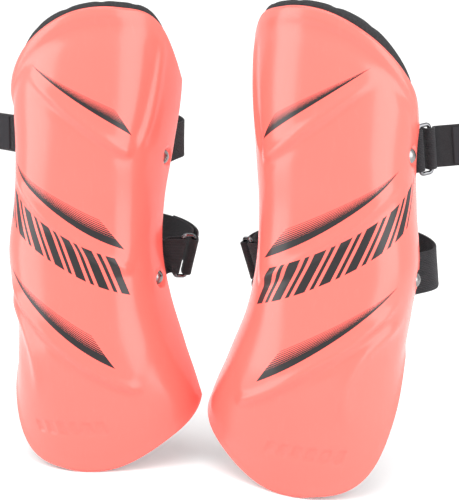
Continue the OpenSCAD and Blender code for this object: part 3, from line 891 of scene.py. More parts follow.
def shell_material(settings):
    material, tree, shader = new_material("gloss_shell_plastic")
    g, z = cloth_place(tree, PRINT_SPAN)
    mask = placed(tree, "Printed Bars", Round=g, Up=z).outputs["Mask"]
    for tail, tip, corner, bow in SLASHES:
        slash = placed(
            tree, "Printed Slash", Round=g, Up=z, Tail_Round=tail[0], Tail_Up=tail[1], Tip_Round=tip[0],
            Tip_Up=tip[1], Corner_Round=corner[0], Corner_Up=corner[1], Bow=bow,
        )
        mask = calc(tree, "MAXIMUM", mask, slash.outputs["Mask"])
    grain = placed(tree, "Moulding Grain", Place=object_place(tree))
    deep = tuple(c * 0.94 for c in settings.plastic_colour)
    plastic = mixed(tree, grain.outputs["Drift"], deep, settings.plastic_colour)
    plastic = mixed(tree, calc(tree, "MULTIPLY", grain.outputs["Rubs"], 0.012), plastic, (0.95, 0.8, 0.76))
    tree.links.new(mixed(tree, mask, plastic, settings.print_colour), shader.inputs["Base Color"])
    rough = span_of(tree, grain.outputs["Rubs"], settings.roughness, settings.roughness + 0.03)
    tree.links.new(calc(tree, "MULTIPLY_ADD", mask, 0.14, rough), shader.inputs["Roughness"])
    shader.inputs["IOR"].default_value = 1.5
    shader.inputs["Specular IOR Level"].default_value = 0.38
    shader.inputs["Coat Weight"].default_value = 0.15
    shader.inputs["Coat Roughness"].default_value = 0.16
    bumped(tree, shader, grain.outputs["Height"], 0.00004, 0.25)
    return material


def foam_material(settings):
    material, tree, shader = new_material("closed_cell_foam")
    place = object_place(tree)
    cells = tree.nodes.new("ShaderNodeTexVoronoi")
    cells.inputs["Scale"].default_value = 620
    tree.links.new(place, cells.inputs["Vector"])
    grain = placed(tree, "Moulding Grain", Place=place, Grain_Scale=1500.0, Rub_Scale=35.0)
    drift = calc(tree, "MULTIPLY", grain.outputs["Drift"], 0.5)
    # The colour follows the cells' bump: painted shade in the cell pits, painted highlight on the cell
    # walls, over a random mottle.
    shade_and_mottle = calc(tree, "MULTIPLY_ADD", cells.outputs["Distance"], 0.7, drift)
    light = tuple(c * 2.4 + 0.006 for c in settings.foam_colour)
    tree.links.new(mixed(tree, shade_and_mottle, settings.foam_colour, light), shader.inputs["Base Color"])
    tree.links.new(span_of(tree, grain.outputs["Rubs"], 0.92, 0.7), shader.inputs["Roughness"])
    shader.inputs["Specular IOR Level"].default_value = 0.35
    bumped(tree, shader, cells.outputs["Distance"], 0.00035, 0.6)
    return material


def fabric_material(name, colour, span, rib, pick, share, fuzz, depth, sheen):
    """Woven finish for webbing and lining. Its colour is painted lighter on the raised weave and darker in
    its grooves, as painted highlight and painted shade, over a random mottle.
    """
    material, tree, shader = new_material(name)
    length, width = cloth_place(tree, span)
    weave = placed(
        tree, "Woven Tape", Along=length, Across=width,
        Rib_Pitch=rib, Pick_Pitch=pick, Rib_Share=share, Fuzz=fuzz,
    )
    # The lighter colour stands for painted highlight on the raised weave and the light side of the random
    # mottle.
    light = tuple(c * 2.2 + 0.006 for c in colour)
    tree.links.new(mixed(tree, weave.outputs["Shade And Mottle"], colour, light), shader.inputs["Base Color"])
    tree.links.new(span_of(tree, weave.outputs["Shade And Mottle"], 0.95, 0.72), shader.inputs["Roughness"])
    shader.inputs["Specular IOR Level"].default_value = 0.3
    shader.inputs["Sheen Weight"].default_value = sheen
    shader.inputs["Sheen Roughness"].default_value = 0.4
    shader.inputs["Sheen Tint"].default_value = (0.7, 0.68, 0.72, 1)
    bumped(tree, shader, weave.outputs["Height"], depth, 0.9)
    return material


def steel_material(name, colour, low, high, brush):
    """Plated or brushed steel with fine scratches and dull spots."""
    material, tree, shader = new_material(name)
    grain = placed(
        tree, "Moulding Grain", Place=object_place(tree),
        Grain_Scale=2600.0, Rub_Scale=brush, Rub_Stretch=9.0,
    )
    dark = tuple(c * 0.72 for c in colour)
    tree.links.new(mixed(tree, grain.outputs["Drift"], dark, colour), shader.inputs["Base Color"])
    tree.links.new(span_of(tree, grain.outputs["Rubs"], low, high), shader.inputs["Roughness"])
    shader.inputs["Metallic"].default_value = 1.0
    bumped(tree, shader, grain.outputs["Height"], 0.00005, 0.4)
    return material


def thread_material():
    material, tree, shader = new_material("sewing_thread")
    twist = tree.nodes.new("ShaderNodeTexWave")
    twist.inputs["Scale"].default_value = 900
    tree.links.new(object_place(tree), twist.inputs["Vector"])
    # The twist bands drive both bump and colour: painted highlight on the raised bands, painted shade
    # between them.
    colour = mixed(tree, twist.outputs["Fac"], (0.012, 0.012, 0.014), (0.05, 0.05, 0.055))
    tree.links.new(colour, shader.inputs["Base Color"])
    shader.inputs["Roughness"].default_value = 0.6
    bumped(tree, shader, twist.outputs["Fac"], 0.0001, 0.6)
    return material


def floor_material(colour):
    material, tree, shader = new_material("studio_floor")
    speck = tree.nodes.new("ShaderNodeTexNoise")
    speck.inputs["Scale"].default_value = 6
    tree.links.new(object_place(tree), speck.inputs["Vector"])
    low = tuple(c * 0.985 for c in colour)
    tree.links.new(mixed(tree, speck.outputs["Fac"], low, colour), shader.inputs["Base Color"])
    shader.inputs["Roughness"].default_value = 0.9
    shader.inputs["Specular IOR Level"].default_value = 0.1
    return material


# ---- Geometry Nodes: stitches and hooks


def new_geometry_tree(name, sizes):
    tree = bpy.data.node_groups.new(name, "GeometryNodeTree")
    tree.interface.new_socket(name="Geometry", in_out="INPUT", socket_type="NodeSocketGeometry")
    for label, value in sizes.items():
        made = tree.interface.new_socket(name=label, in_out="INPUT", socket_type="NodeSocketFloat")
        made.default_value = value
        made.subtype = "DISTANCE"
    tree.interface.new_socket(name="Finish", in_out="INPUT", socket_type="NodeSocketMaterial")
    tree.interface.new_socket(name="Geometry", in_out="OUTPUT", socket_type="NodeSocketGeometry")
    return tree, tree.nodes.new("NodeGroupInput").outputs, tree.nodes.new("NodeGroupOutput").inputs


def ending(tree, geometry, finish, out):
    """Realize Instances and Set Material at the end of a tree."""
    real = tree.nodes.new("GeometryNodeRealizeInstances")
    smooth = tree.nodes.new("GeometryNodeSetShadeSmooth")
    paint = tree.nodes.new("GeometryNodeSetMaterial")
    tree.links.new(geometry, real.inputs[0])
    tree.links.new(real.outputs[0], smooth.inputs["Geometry"])
    tree.links.new(smooth.outputs[0], paint.inputs["Geometry"])
    tree.links.new(finish, paint.inputs["Material"])
    tree.links.new(paint.outputs[0], out["Geometry"])


def stitch_tree():
    """Thread stitches at an even pitch along the seam lines."""
    sizes = {"Pitch": 0.0028, "Stitch Length": 0.0023, "Thread": 0.0005}
    tree, given, out = new_geometry_tree("Stitch Rows", sizes)
    curve = tree.nodes.new("GeometryNodeMeshToCurve")
    spaced = tree.nodes.new("GeometryNodeResampleCurve")
    spaced.mode = "LENGTH"
    tangent = tree.nodes.new("GeometryNodeInputTangent")
    turn = tree.nodes.new("FunctionNodeAlignRotationToVector")
    turn.axis = "Z"
    bead = tree.nodes.new("GeometryNodeMeshUVSphere")
    bead.inputs["Segments"].default_value = 6
    bead.inputs["Rings"].default_value = 5
    bead.inputs["Radius"].default_value = 0.5
    size = tree.nodes.new("ShaderNodeCombineXYZ")
    place = tree.nodes.new("GeometryNodeInstanceOnPoints")
    tree.links.new(given["Geometry"], curve.inputs["Mesh"])
    tree.links.new(curve.outputs[0], spaced.inputs["Curve"])
    tree.links.new(given["Pitch"], spaced.inputs["Length"])
    tree.links.new(tangent.outputs[0], turn.inputs["Vector"])
    tree.links.new(given["Thread"], size.inputs["X"])
    tree.links.new(given["Thread"], size.inputs["Y"])
    tree.links.new(given["Stitch Length"], size.inputs["Z"])
    tree.links.new(spaced.outputs[0], place.inputs["Points"])
    tree.links.new(bead.outputs[0], place.inputs["Instance"])
    tree.links.new(turn.outputs[0], place.inputs["Rotation"])
    tree.links.new(size.outputs[0], place.inputs["Scale"])
    ending(tree, place.outputs[0], given["Finish"], out)
    return tree


def bristle_tree():
    """Small moulded hooks standing on the points of the tape's face."""
    tree, given, out = new_geometry_tree("Hook Tape Bristles", {"Height": 0.0009, "Foot": 0.0004})
    normal = tree.nodes.new("GeometryNodeInputNormal")
    turn = tree.nodes.new("FunctionNodeAlignRotationToVector")
    turn.axis = "Z"
    peg = tree.nodes.new("GeometryNodeMeshCone")
    peg.inputs["Vertices"].default_value = 5
    half = tree.nodes.new("ShaderNodeMath")
    half.operation = "MULTIPLY"
    half.inputs[1].default_value = 0.5
    place = tree.nodes.new("GeometryNodeInstanceOnPoints")
    tree.links.new(normal.outputs[0], turn.inputs["Vector"])
    tree.links.new(given["Height"], peg.inputs["Depth"])
    tree.links.new(given["Foot"], peg.inputs["Radius Bottom"])
    tree.links.new(given["Foot"], half.inputs[0])
    tree.links.new(half.outputs[0], peg.inputs["Radius Top"])
    tree.links.new(given["Geometry"], place.inputs["Points"])
    tree.links.new(peg.outputs[0], place.inputs["Instance"])
    tree.links.new(turn.outputs[0], place.inputs["Rotation"])
    ending(tree, place.outputs[0], given["Finish"], out)
    return tree


def grown(name, points, edges, faces, tree, sizes, finish):
    """A plain mesh made by a Geometry Nodes tree on the given points, in metres."""
    seed = bpy.data.meshes.new(name + "_seed")
    seed.from_pydata((np.asarray(points) * MM).tolist(), edges, faces)
    carrier = bpy.data.objects.new(name + "_seed", seed)
    bpy.context.scene.collection.objects.link(carrier)
    modifier = carrier.modifiers.new("Grow", "NODES")
    modifier.node_group = tree
    for item in tree.interface.items_tree:
        if item.in_out == "INPUT" and item.name in sizes:
            modifier[item.identifier] = sizes[item.name]
        if item.in_out == "INPUT" and item.name == "Finish":
            modifier[item.identifier] = finish
    graph = bpy.context.evaluated_depsgraph_get()
    mesh = bpy.data.meshes.new_from_object(carrier.evaluated_get(graph), depsgraph=graph)
    carrier.modifiers.remove(modifier)
    bpy.data.objects.remove(carrier)
    if not mesh.polygons:
        raise RuntimeError(f"{name} came out empty")
    mesh.name = name
    if not mesh.materials:
        mesh.materials.append(finish)
    piece = bpy.data.objects.new(name, mesh)
    bpy.context.scene.collection.objects.link(piece)
    return piece


# ---- Settings


class SHIN_PG_shell(bpy.types.PropertyGroup):
    """The moulded shells."""

    plastic_colour: bpy.props.FloatVectorProperty(
        name="Plastic", description="Colour of the moulded plastic", subtype="COLOR",
        default=(0.93, 0.152, 0.124),
    )
    print_colour: bpy.props.FloatVectorProperty(
        name="Print", description="Colour of the printed graphics", subtype="COLOR",
        default=(0.012, 0.010, 0.011),
    )
    roughness: bpy.props.FloatProperty(
        name="Roughness", description="How dull the plastic is", default=0.24, min=0.02, max=0.9
    )


class SHIN_PG_soft(bpy.types.PropertyGroup):
    """Foam, lining and webbing."""

    foam_colour: bpy.props.FloatVectorProperty(
        name="Foam", description="Colour of the foam", subtype="COLOR", default=(0.012, 0.012, 0.013)
    )
    lining_colour: bpy.props.FloatVectorProperty(
        name="Lining", description="Colour of the lining fabric", subtype="COLOR",
        default=(0.022, 0.022, 0.025),
    )
    webbing_colour: bpy.props.FloatVectorProperty(
        name="Webbing", description="Colour of the webbing", subtype="COLOR", default=(0.010, 0.0095, 0.011)
    )
    swell: bpy.props.FloatProperty(
        name="Swell", description="Pressure that fills the foam pad out", default=4.0, min=0.0, max=12.0
    )
    swell_limit: bpy.props.FloatProperty(
        name="Swell Limit", description="How far the pad's face may move", subtype="DISTANCE", default=0.0016
    )


class SHIN_PG_stitch(bpy.types.PropertyGroup):
    """Stitches and hooks."""

    pitch: bpy.props.FloatProperty(
        name="Stitch Pitch", description="Distance between stitches", subtype="DISTANCE", default=0.0028
    )
    thread: bpy.props.FloatProperty(
        name="Thread", description="Thickness of the thread", subtype="DISTANCE", default=0.0005
    )
    hook_pitch: bpy.props.FloatProperty(
        name="Hook Pitch", description="Distance between hooks on the tape", subtype="DISTANCE",
        default=0.0017,
    )


class SHIN_PG_stage(bpy.types.PropertyGroup):
    """Floor, lights and camera."""

    floor_colour: bpy.props.FloatVectorProperty(
        name="Floor", description="Colour of the studio floor", subtype="COLOR", default=(0.9, 0.9, 0.9)
    )
    side_power: bpy.props.FloatProperty(
        name="Side Lights", description="Power of each side light", subtype="POWER", default=23.0
    )
    top_power: bpy.props.FloatProperty(
        name="Top Light", description="Power of the top light", subtype="POWER", default=12.0
    )
    lens: bpy.props.FloatProperty(
        name="Lens", description="Focal length in millimetres", default=77.4, min=20.0, max=200.0
    )


SIDES = ("left", "right")


def shell_settings():
    return bpy.context.scene.shin_shell


def soft_settings():
    return bpy.context.scene.shin_soft


def stitch_settings():
    return bpy.context.scene.shin_stitch


def stage_settings():
    return bpy.context.scene.shin_stage


def finish_named(name, make):
    """The material of that name, made once."""
    found = bpy.data.materials.get(name)
    return found if found is not None else make()


def tape_finish(name, shade, *weave):
    """One of the tapes' woven finishes, in a share of the webbing's colour."""
    colour = tuple(c * shade for c in soft_settings().webbing_colour)
    return finish_named(name, lambda: fabric_material(name, colour, CLOTH_SPAN, *weave))


def webbing_finish():
    return tape_finish("ribbed_webbing", 1.0, 1.5, 1.1, 0.6, 0.5, 0.0005, 0.12)


def pile_finish():
    return tape_finish("loop_pile_webbing", 1.0, 0.9, 0.8, 0.3, 1.8, 0.0007, 0.25)


def hook_finish():
    return tape_finish("hook_tape", 0.8, 1.2, 1.2, 0.5, 0.3, 0.0002, 0.1)


# ---- Pads


def pad_grid(columns, rows, inset, margin):
    """Grid of points over the foam's spread, at a depth from the shell's outer face."""
    share = np.linspace(-1, 1, columns + 1)[None, :]
    up = np.linspace(0, 1, rows + 1)[:, None]
    rough = liner_angle(200) * share + 0 * up
    low = bottom_z(rough) + LINER_LIFT + margin
    z0 = low + (liner_top_z(rough) - margin - low) * up
    angle = (liner_angle(z0) - margin / 2) * share
    low = bottom_z(angle) + LINER_LIFT + margin
    z = low + (liner_top_z(angle) - margin - low) * up
    return face_point(angle, z, inset), angle, z


def channel_depth(angle, z):
    """0 to 1: how deep the pressed channels of the pad are at a place."""
    g = distance_round(angle, z)
    lines = [np.abs(g - c - 0.05 * (z - 200)) for c in (-46, -16, 16, 46)]
    lines += [np.abs(z - c - 0.12 * np.abs(g)) for c in (120, 212, 300)]
    return np.exp(-((np.minimum.reduce(lines) / 3.2) ** 2))


def pad_mesh():
    """The foam pad before it swells: a little thinner than its space, with pressed channels."""
    near = SHELL_WALL + GLUE
    outer, angle, z = pad_grid(PAD_COLUMNS, PAD_ROWS, near, PAD_MARGIN)
    inner, _, _ = pad_grid(PAD_COLUMNS, PAD_ROWS, near + LINER_THICK - PAD_SLACK, PAD_MARGIN)
    pressed = channel_depth(angle, z)[..., None]
    inner = inner + CHANNEL_PRESS * pressed * (outer - inner)
    return closed_wall(outer, inner, 4), outer


def swollen(points, faces, outer, settings):
    """The pad after its cloth skin is filled from inside, held where it is glued and pressed."""
    mesh = bpy.data.meshes.new("pad_skin")
    mesh.from_pydata((points * MM).tolist(), [], faces)
    skin = bpy.data.objects.new("pad_skin", mesh)
    bpy.context.scene.collection.objects.link(skin)
    start = np.array([v.co for v in mesh.vertices])
    glued = BVHTree.FromPolygons([Vector(p * MM) for p in outer.reshape(-1, 3)], grid_faces(outer))
    held = skin.vertex_groups.new(name="held")
    for index, place in enumerate(start):
        away = glued.find_nearest(Vector(place))[3]
        mm = place / MM
        turn = angle_at(mm)
        pressed = float(channel_depth(np.array(turn), np.array(mm[2])))
        if away < 0.0035 or pressed > 0.75:
            held.add([index], 1.0, "REPLACE")
    cloth = skin.modifiers.new("Swell", "CLOTH")
    cloth.settings.quality = 5
    cloth.settings.mass = 0.3
    cloth.settings.tension_stiffness = 15
    cloth.settings.compression_stiffness = 15
    cloth.settings.bending_stiffness = 0.8
    cloth.settings.use_pressure = True
    cloth.settings.uniform_pressure_force = settings.swell
    cloth.settings.vertex_group_mass = "held"
    cloth.settings.effector_weights.gravity = 0
    cloth.collision_settings.use_collision = False
    scene = bpy.context.scene
    for step in range(1, SWELL_FRAMES + 1):
        scene.frame_set(step)
    graph = bpy.context.evaluated_depsgraph_get()
    done = bpy.data.meshes.new_from_object(skin.evaluated_get(graph), depsgraph=graph)
    scene.frame_set(1)
    skin.modifiers.remove(cloth)
    bpy.data.objects.remove(skin)
    moved = np.array([v.co for v in done.vertices]) - start
    far = np.linalg.norm(moved, axis=1, keepdims=True)
    moved = moved * np.minimum(1, settings.swell_limit / np.maximum(far, 1e-9))
    return (start + moved) / MM, [list(p.vertices) for p in done.polygons]


def grid_faces(grid):
    rows, columns = grid.shape[:2]
    index = np.arange(rows * columns).reshape(rows, columns)
    faces = np.stack([index[:-1, :-1], index[:-1, 1:], index[1:, 1:], index[1:, :-1]], -1)
    return faces.reshape(-1, 4).tolist()


def angle_at(place):
    """The angle round the guard of a point near its face."""
    x, y, z = place
    power = float(2 / along(SECTION_Z, SQUARENESS, z))
    half = float(along(SECTION_Z, OUTER_X if x < 0 else INNER_X, z)) - 8
    back = float(along(SECTION_Z, OUTER_Y if x < 0 else INNER_Y, z))
    crest = float(along(SECTION_Z, CREST_Y, z)) + 8
    across_part = min(1.0, abs(x) / half) ** (1 / power)
    front_part = max(0.0, min(1.0, (back - y) / (back - crest))) ** (1 / power)
    return math.copysign(math.degrees(math.atan2(across_part, front_part)), x)


def lining_mesh(pad_points, pad_faces):
    """A thin fabric that follows the pad's inner face."""
    tree = BVHTree.FromPolygons([Vector(p) for p in pad_points], pad_faces)
    columns, rows, margin = 84, 130, 3.0
    deep, angle, z = pad_grid(columns, rows, 24, margin)
    front, _, _ = pad_grid(columns, rows, 2, margin)
    fallback, _, _ = pad_grid(columns, rows, SHELL_WALL + 2 * GLUE + LINER_THICK, margin)
    back = fallback.copy()
    for j in range(rows + 1):
        for i in range(columns + 1):
            way = Vector(front[j, i] - deep[j, i])
            hit = tree.ray_cast(Vector(deep[j, i]), way.normalized(), way.length)
            if hit[0] is not None:
                back[j, i] = np.array(hit[0]) - 0.25 * np.array(way.normalized())
    for _ in range(2):
        back[1:-1, 1:-1] = (
            2 * back[1:-1, 1:-1] + back[:-2, 1:-1] + back[2:, 1:-1] + back[1:-1, :-2] + back[1:-1, 2:]
        ) / 6
    inward = unit(deep - front)
    inner = back + 1.0 * inward
    wide = np.linalg.norm(np.diff(back, axis=1), axis=2).sum(1).max()
    high = np.linalg.norm(np.diff(back, axis=0), axis=2).sum(0).max()
    a, b, c, d = back[:-1, :-1], back[:-1, 1:], back[1:, 1:], back[1:, :-1]
    area = (np.linalg.norm(np.cross(c - a, d - b), axis=-1) / 2).sum()
    g = distance_round(angle, z)
    cloth = np.stack([z, g], -1).reshape(-1, 2)
    points, faces = closed_wall(back, inner, 3)
    rim = np.zeros((len(points) - 2 * len(cloth), 2))
    return points, faces, np.concatenate([cloth, cloth, rim]), wide, high, area


# ---- Operators


class SHIN_OT_shells(bpy.types.Operator):
    """Build the two moulded shells with their ridges, rim, rivet seats and printed graphics"""

    bl_idname = "shin.shells"
    bl_label = "Shells"

    def execute(self, context):
        finish = shell_material(shell_settings())
        outer, inner, places = shell_points()
        points, faces = closed_wall(outer, inner, RIM_STEPS)
        count = outer.shape[0] * outer.shape[1]
        print_place = np.zeros((len(points), 2))
        print_place[:count] = places.reshape(-1, 2)
        print_place[count:] = (0, -20)
        bosses = []
        for place, inward in rivet_frames():
            start = SHELL_WALL - 1.2
            profile = [
                (2.1, start), (BOSS_D / 2 + 1.2, start),
                (BOSS_D / 2 + 0.5, SHELL_WALL + 1.4), (BOSS_D / 2, SHELL_WALL + 2.6),
                (BOSS_D / 2, BOSS_END - 0.6), (BOSS_D / 2 - 0.6, BOSS_END), (2.1, BOSS_END),
            ]
            bosses.append(lathe(profile, place, inward))
        all_points, all_faces = joined([(points, faces), *bosses])
        extra = np.full((len(all_points) - len(points), 2), (0.0, -20.0))
        print_place = np.concatenate([print_place, extra])
        for side in SIDES:
            name = f"{side}_moulded_shell"
            piece = make_mesh(name, all_points, all_faces, finish, print_place, side, PRINT_SPAN)
            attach(piece, f"{side}_guard")
            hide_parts(f"{side}_shell")
        return {"FINISHED"}


class SHIN_OT_pads(bpy.types.Operator):
    """Build the foam pads, swelled between their pressed channels, and the fabric linings on them"""

    bl_idname = "shin.pads"
    bl_label = "Pads and Linings"

    def execute(self, context):
        settings = soft_settings()
        foam = foam_material(settings)
        fabric = fabric_material(
            "lining_fabric", settings.lining_colour, CLOTH_SPAN, 1.0, 0.9, 0.5, 0.9, 0.0003, 0.5
        )
        (points, faces), outer = pad_mesh()
        points, faces = swollen(points, faces, outer, settings)
        lining, lining_faces, cloth, wide, high, area = lining_mesh(points, faces)
        for side in SIDES:
            pad = make_mesh(f"{side}_foam_pad", points, faces, foam, None, side)
            smooth = pad.modifiers.new("Smooth", "SUBSURF")
            smooth.levels = smooth.render_levels = 1
            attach(pad, f"{side}_guard")
            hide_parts(f"{side}_liner")
            cover = make_mesh(f"{side}_lining_cloth", lining, lining_faces, fabric, cloth, side)
            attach(cover, f"{side}_guard")
            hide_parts(f"{side}_lining")
        return {"FINISHED"}


def level_lines(level):
    """Paths of one level's strap, tail and tab, as (line, up, widths)."""
    if level == "upper":
        strap = strap_path(UPPER_RIVETS, 1, UPPER_END_RISE, UPPER_RUN, UPPER_RING)
        tail = tail_path(upper_tail_points(), UPPER_RING, UPPER_RUN)
        tab = tab_path(UPPER_RIVETS, 0, UPPER_TAB_RUN, 0, UPPER_RING, 1)
        return strap, tail, tab
    strap = strap_path(LOWER_RIVETS, 0, 0, LOWER_RUN, LOWER_RING)
    tail = tail_path(lower_tail_points(), LOWER_RING, LOWER_RUN)
    tab = tab_path(LOWER_RIVETS, 1, LOWER_TAB_RUN, LOWER_TAB_RISE, LOWER_RING, 3)
    return strap, tail, tab


def hinge_points(level, side):
    """Where a tail starts and ends its bend, in metres."""
    points = upper_tail_points() if level == "upper" else lower_tail_points()
    out = unit(points[1] - points[0])
    ends = np.array([points[0] - 0.6 * out, points[0] + 3.4 * out])
    if side == "right":
        ends = mirrored(ends)
    return tuple(ends[0] * MM), tuple(ends[1] * MM)


class SHIN_OT_webbing(bpy.types.Operator):
    """Build the straps, their bent tails and the folded tabs as bands of webbing"""

    bl_idname = "shin.webbing"
    bl_label = "Webbing"

    def execute(self, context):
        for level in ("upper", "lower"):
            strap, tail, tab = level_lines(level)
            for side in SIDES:
                points, faces, cloth = band_mesh(*strap, WEB_T, wave=0.15)
                piece = make_mesh(f"{side}_{level}_webbing", points, faces, webbing_finish(), cloth, side)
                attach(piece, f"{side}_{level}_loop")
                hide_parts(f"{side}_{level}_strap")
                points, faces, cloth = band_mesh(*tab, WEB_T, pitch=1.6)
                piece = make_mesh(f"{side}_{level}_folded_tab", points, faces, webbing_finish(), cloth, side)
                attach(piece, f"{side}_{level}_loop")
                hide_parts(f"{side}_{level}_tab")
                points, faces, cloth = band_mesh(*tail, WEB_T, pitch=1.4, wave=0.2)
                piece = make_mesh(f"{side}_{level}_pile_tail", points, faces, pile_finish(), cloth, side)
                start, end = hinge_points(level, side)
                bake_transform(piece)
                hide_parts(f"{side}_{level}_tail")
        return {"FINISHED"}


def hook_path(level):
    """Middle line of the hook tape's backing, on the tail's face towards the leg."""
    points = upper_tail_points() if level == "upper" else lower_tail_points()
    ring = UPPER_RING if level == "upper" else LOWER_RING
    first = 1 if level == "upper" else 4
    bar = bar_dir(ring)
    last = len(points) - 1
    line = []
    for i in range(first, last + 1):
        run = unit(points[min(last, i + 1)] - points[i - 1])
        out = np.cross(run, across(bar, run))
        place = points[i] - out * (WEB_T / 2 + HOOK_GAP / 2 + 0.25)
        line.append(place - run * (HOOK_MARGIN if i == last else 0))
    line = smooth_line(line, 6)
    return line, np.array([bar] * len(line)), np.full(len(line), float(WEB_W - 2 * HOOK_MARGIN))


class SHIN_OT_hooks(bpy.types.Operator):
    """Build the hook tape on each tail: a thin backing with rows of small moulded hooks"""

    bl_idname = "shin.hooks"
    bl_label = "Hook Tape"

    def execute(self, context):
        tree = bristle_tree()
        pitch = stitch_settings().hook_pitch / MM
        for level in ("upper", "lower"):
            line, up, widths = hook_path(level)
            length = np.linalg.norm(np.diff(line, axis=0), axis=1).sum()
            places, sides = np.meshgrid(
                np.arange(1.2, length - 0.8, pitch),
                np.arange(-WEB_W / 2 + 3.4, WEB_W / 2 - 3.3, pitch),
                indexing="ij",
            )
            face = on_band(line, up, HOOK_BACKING, places.ravel(), sides.ravel(), -1)
            face = face.reshape(*places.shape, 3)
            faces = [f[::-1] for f in grid_faces(face)]
            for side in SIDES:
                points, polygons, cloth = band_mesh(line, up, widths, HOOK_BACKING, pitch=1.5)
                name = f"{side}_{level}_hook_backing"
                backing = make_mesh(name, points, polygons, hook_finish(), cloth, side)
                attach(backing, f"{side}_{level}_tail")
                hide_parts(f"{side}_{level}_hook")
                seed = mirrored(face) if side == "right" else face
                seed_faces = [f[::-1] for f in faces] if side == "right" else faces
                piece = grown(
                    f"{side}_{level}_hooks", seed.reshape(-1, 3), [], seed_faces, tree,
                    {"Height": 0.0007, "Foot": 0.00032}, hook_finish(),
                )
                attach(piece, f"{side}_{level}_tail")
        return {"FINISHED"}


def seam_lines(path, rows, start, end, face, thick=WEB_T):
    """Rows of points on a band for stitches: two rows along it, joined by rows across at both ends."""
    line, up, _ = path
    length = np.linalg.norm(np.diff(line, axis=0), axis=1).sum()
    far = length + end if end <= 0 else end
    points, edges = [], []

    def add(places, sides):
        first = len(points)
        for p in on_band(line, up, thick + 0.25, places, sides, face):
            points.append(p)
        edges.extend([(i, i + 1) for i in range(first, len(points) - 1)])

    steps = max(6, int((far - start) / 1.5))
    for row in rows:
        add(np.linspace(start, far, steps), np.full(steps, float(row)))
    sides = np.linspace(min(rows), max(rows), 20)
    for place in (start, far):
        add(np.full(20, float(place)), sides)
    return points, edges


class SHIN_OT_stitches(bpy.types.Operator):
    """Sew the webbing: rows of thread on the tabs, the straps' riveted ends and the tails"""

    bl_idname = "shin.stitches"
    bl_label = "Stitches"

    def execute(self, context):
        settings = stitch_settings()
        tree = stitch_tree()
        thread = thread_material()
        sizes = {"Pitch": settings.pitch, "Thread": settings.thread, "Stitch Length": 0.82 * settings.pitch}
        for level in ("upper", "lower"):
            strap, tail, tab = level_lines(level)
            tab_length = np.linalg.norm(np.diff(tab[0], axis=0), axis=1).sum()
            half = tab_length / 2
            seams = {
                "loop": [
                    seam_lines(tab, (-13, 13), half - 24, half - 10, 1),
                    seam_lines(tab, (-13, 13), half + 10, half + 24, 1),
                    seam_lines(strap, (-14, 14), 14, 26, 1),
                    seam_lines(strap, (-14, 14), 14, 26, -1),
                ],
                "tail": [seam_lines(tail, (-14.5, 14.5), 9 if level == "lower" else 17, -3.5, 1)],
            }
            for part, found in seams.items():
                points, edges = [], []
                for p, e in found:
                    edges += [(a + len(points), b + len(points)) for a, b in e]
                    points += p
                for side in SIDES:
                    seed = mirrored(points) if side == "right" else np.array(points)
                    piece = grown(f"{side}_{level}_{part}_thread", seed, edges, [], tree, sizes, thread)
                    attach(piece, f"{side}_{level}_{part}")
        return {"FINISHED"}


class SHIN_OT_steel(bpy.types.Operator):
    """Give the wire rings, the domed rivets and the washers their steel finishes"""

    bl_idname = "shin.steel"
    bl_label = "Steel Parts"

    def execute(self, context):
        wire = steel_material("polished_wire", (0.2, 0.2, 0.21), 0.2, 0.36, 240.0)
        dome = steel_material("plated_domes", (0.3, 0.29, 0.29), 0.26, 0.44, 420.0)
        for name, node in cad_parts.items():
            if name.endswith("_ring"):
                finish = wire
            elif name.endswith(("_rivets", "_washers")):
                finish = dome
            else:
                continue
            if not node.material_slots:
                node.data.materials.append(finish)
            for place in node.material_slots:
                place.material = finish
        return {"FINISHED"}


def backdrop_mesh():
    """A floor that curves up into a wall behind the guards, in metres."""
    profile = [(-2.6, 0.0)]
    profile += [(1.1, 0.0)]
    turns = np.linspace(0.08, math.pi / 2, 24)
    profile += [(1.1 + 0.9 * math.sin(a), 0.9 - 0.9 * math.cos(a)) for a in turns]
    profile += [(2.0, 3.2)]
    wide = 3.2
    points, faces = [], []
    for y, z in profile:
        points += [(-wide, y, z), (wide, y, z)]
    for i in range(len(profile) - 1):
        faces.append([2 * i, 2 * i + 1, 2 * i + 3, 2 * i + 2])
    return np.array(points), faces


def soft_light(name, place, aim, size, power):
    light = bpy.data.lights.new(name, "AREA")
    light.shape = "RECTANGLE"
    light.size, light.size_y = size
    light.energy = power
    lamp = bpy.data.objects.new(name, light)
    bpy.context.scene.collection.objects.link(lamp)
    lamp.location = place
    lamp.rotation_euler = (Vector(aim) - Vector(place)).to_track_quat("-Z", "Y").to_euler()
    return lamp


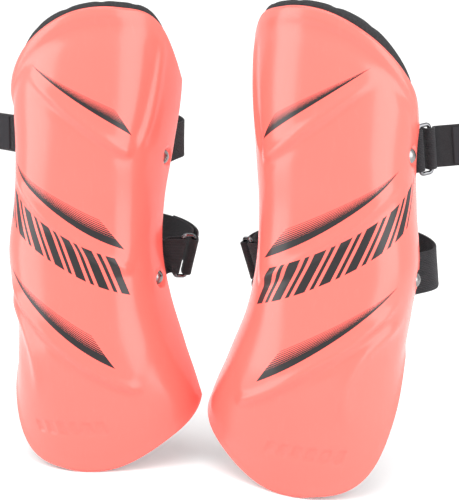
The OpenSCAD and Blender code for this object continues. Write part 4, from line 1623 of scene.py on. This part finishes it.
class SHIN_OT_stage(bpy.types.Operator):
    """Set the pale floor, the soft lights and the camera"""

    bl_idname = "shin.stage"
    bl_label = "Floor, Lights and Camera"

    def execute(self, context):
        settings = stage_settings()
        low = min(CAD_BOX[0][2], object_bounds()[0][2])
        points, faces = backdrop_mesh()
        points = points + np.array([0.106, 0, low])
        floor = make_mesh("studio_backdrop", points / MM, faces, floor_material(settings.floor_colour))
        floor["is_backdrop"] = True
        world = bpy.data.worlds.new("studio_air")
        world.use_nodes = True
        air = world.node_tree.nodes["Background"]
        air.inputs["Color"].default_value = (1, 1, 1, 1)
        air.inputs["Strength"].default_value = 0.95
        context.scene.world = world
        context.scene.view_settings.view_transform = "Standard"
        aim = (0.106, -0.03, 0.2)
        soft_light("left_softbox", (-1.25, -0.75, 0.55), aim, (1.1, 2.0), settings.side_power)
        soft_light("right_softbox", (1.45, -0.6, 0.55), aim, (1.1, 2.0), settings.side_power)
        soft_light("top_softbox", (0.106, -0.5, 1.6), aim, (1.5, 1.1), settings.top_power)
        camera = bpy.data.cameras.new("studio_camera")
        camera.lens = settings.lens
        camera.sensor_width = 36
        view = bpy.data.objects.new("studio_camera", camera)
        context.scene.collection.objects.link(view)
        place, target = Vector((0.375, -0.885, 0.369)), Vector((0.121, 0, 0.182))
        view.location = place
        view.rotation_euler = (target - place).to_track_quat("-Z", "Y").to_euler()
        context.scene.camera = view
        return {"FINISHED"}


class SHIN_PT_maker(bpy.types.Panel):
    """Sidebar panel that lists the makers of the pieces and their settings"""

    bl_idname = "SHIN_PT_maker"
    bl_label = "Shin Guards"
    bl_space_type = "VIEW_3D"
    bl_region_type = "UI"
    bl_category = "Shin Guards"

    def draw(self, context):
        layout = self.layout
        scene = context.scene
        for group in (scene.shin_shell, scene.shin_soft, scene.shin_stitch, scene.shin_stage):
            box = layout.box()
            for name in group.__annotations__:
                box.prop(group, name)
        for maker in MAKERS:
            layout.operator(maker.bl_idname)


GROUPS = {
    "shin_shell": SHIN_PG_shell,
    "shin_soft": SHIN_PG_soft,
    "shin_stitch": SHIN_PG_stitch,
    "shin_stage": SHIN_PG_stage,
}
MAKERS = (
    SHIN_OT_shells,
    SHIN_OT_pads,
    SHIN_OT_webbing,
    SHIN_OT_hooks,
    SHIN_OT_stitches,
    SHIN_OT_steel,
    SHIN_OT_stage,
)


def register():
    for kind in (*GROUPS.values(), *MAKERS, SHIN_PT_maker):
        bpy.utils.register_class(kind)
    for name, group in GROUPS.items():
        setattr(bpy.types.Scene, name, bpy.props.PointerProperty(type=group))


def unregister():
    for name in GROUPS:
        delattr(bpy.types.Scene, name)
    for kind in (SHIN_PT_maker, *reversed(MAKERS), *reversed(GROUPS.values())):
        bpy.utils.unregister_class(kind)


def main():
    register()
    for make in (slash_group, bars_group, grain_group, weave_group):
        make()
    bpy.ops.shin.shells()
    bpy.ops.shin.pads()
    bpy.ops.shin.webbing()
    bpy.ops.shin.hooks()
    bpy.ops.shin.stitches()
    bpy.ops.shin.steel()
    bpy.ops.shin.stage()


if __name__ == "__main__":
    main()
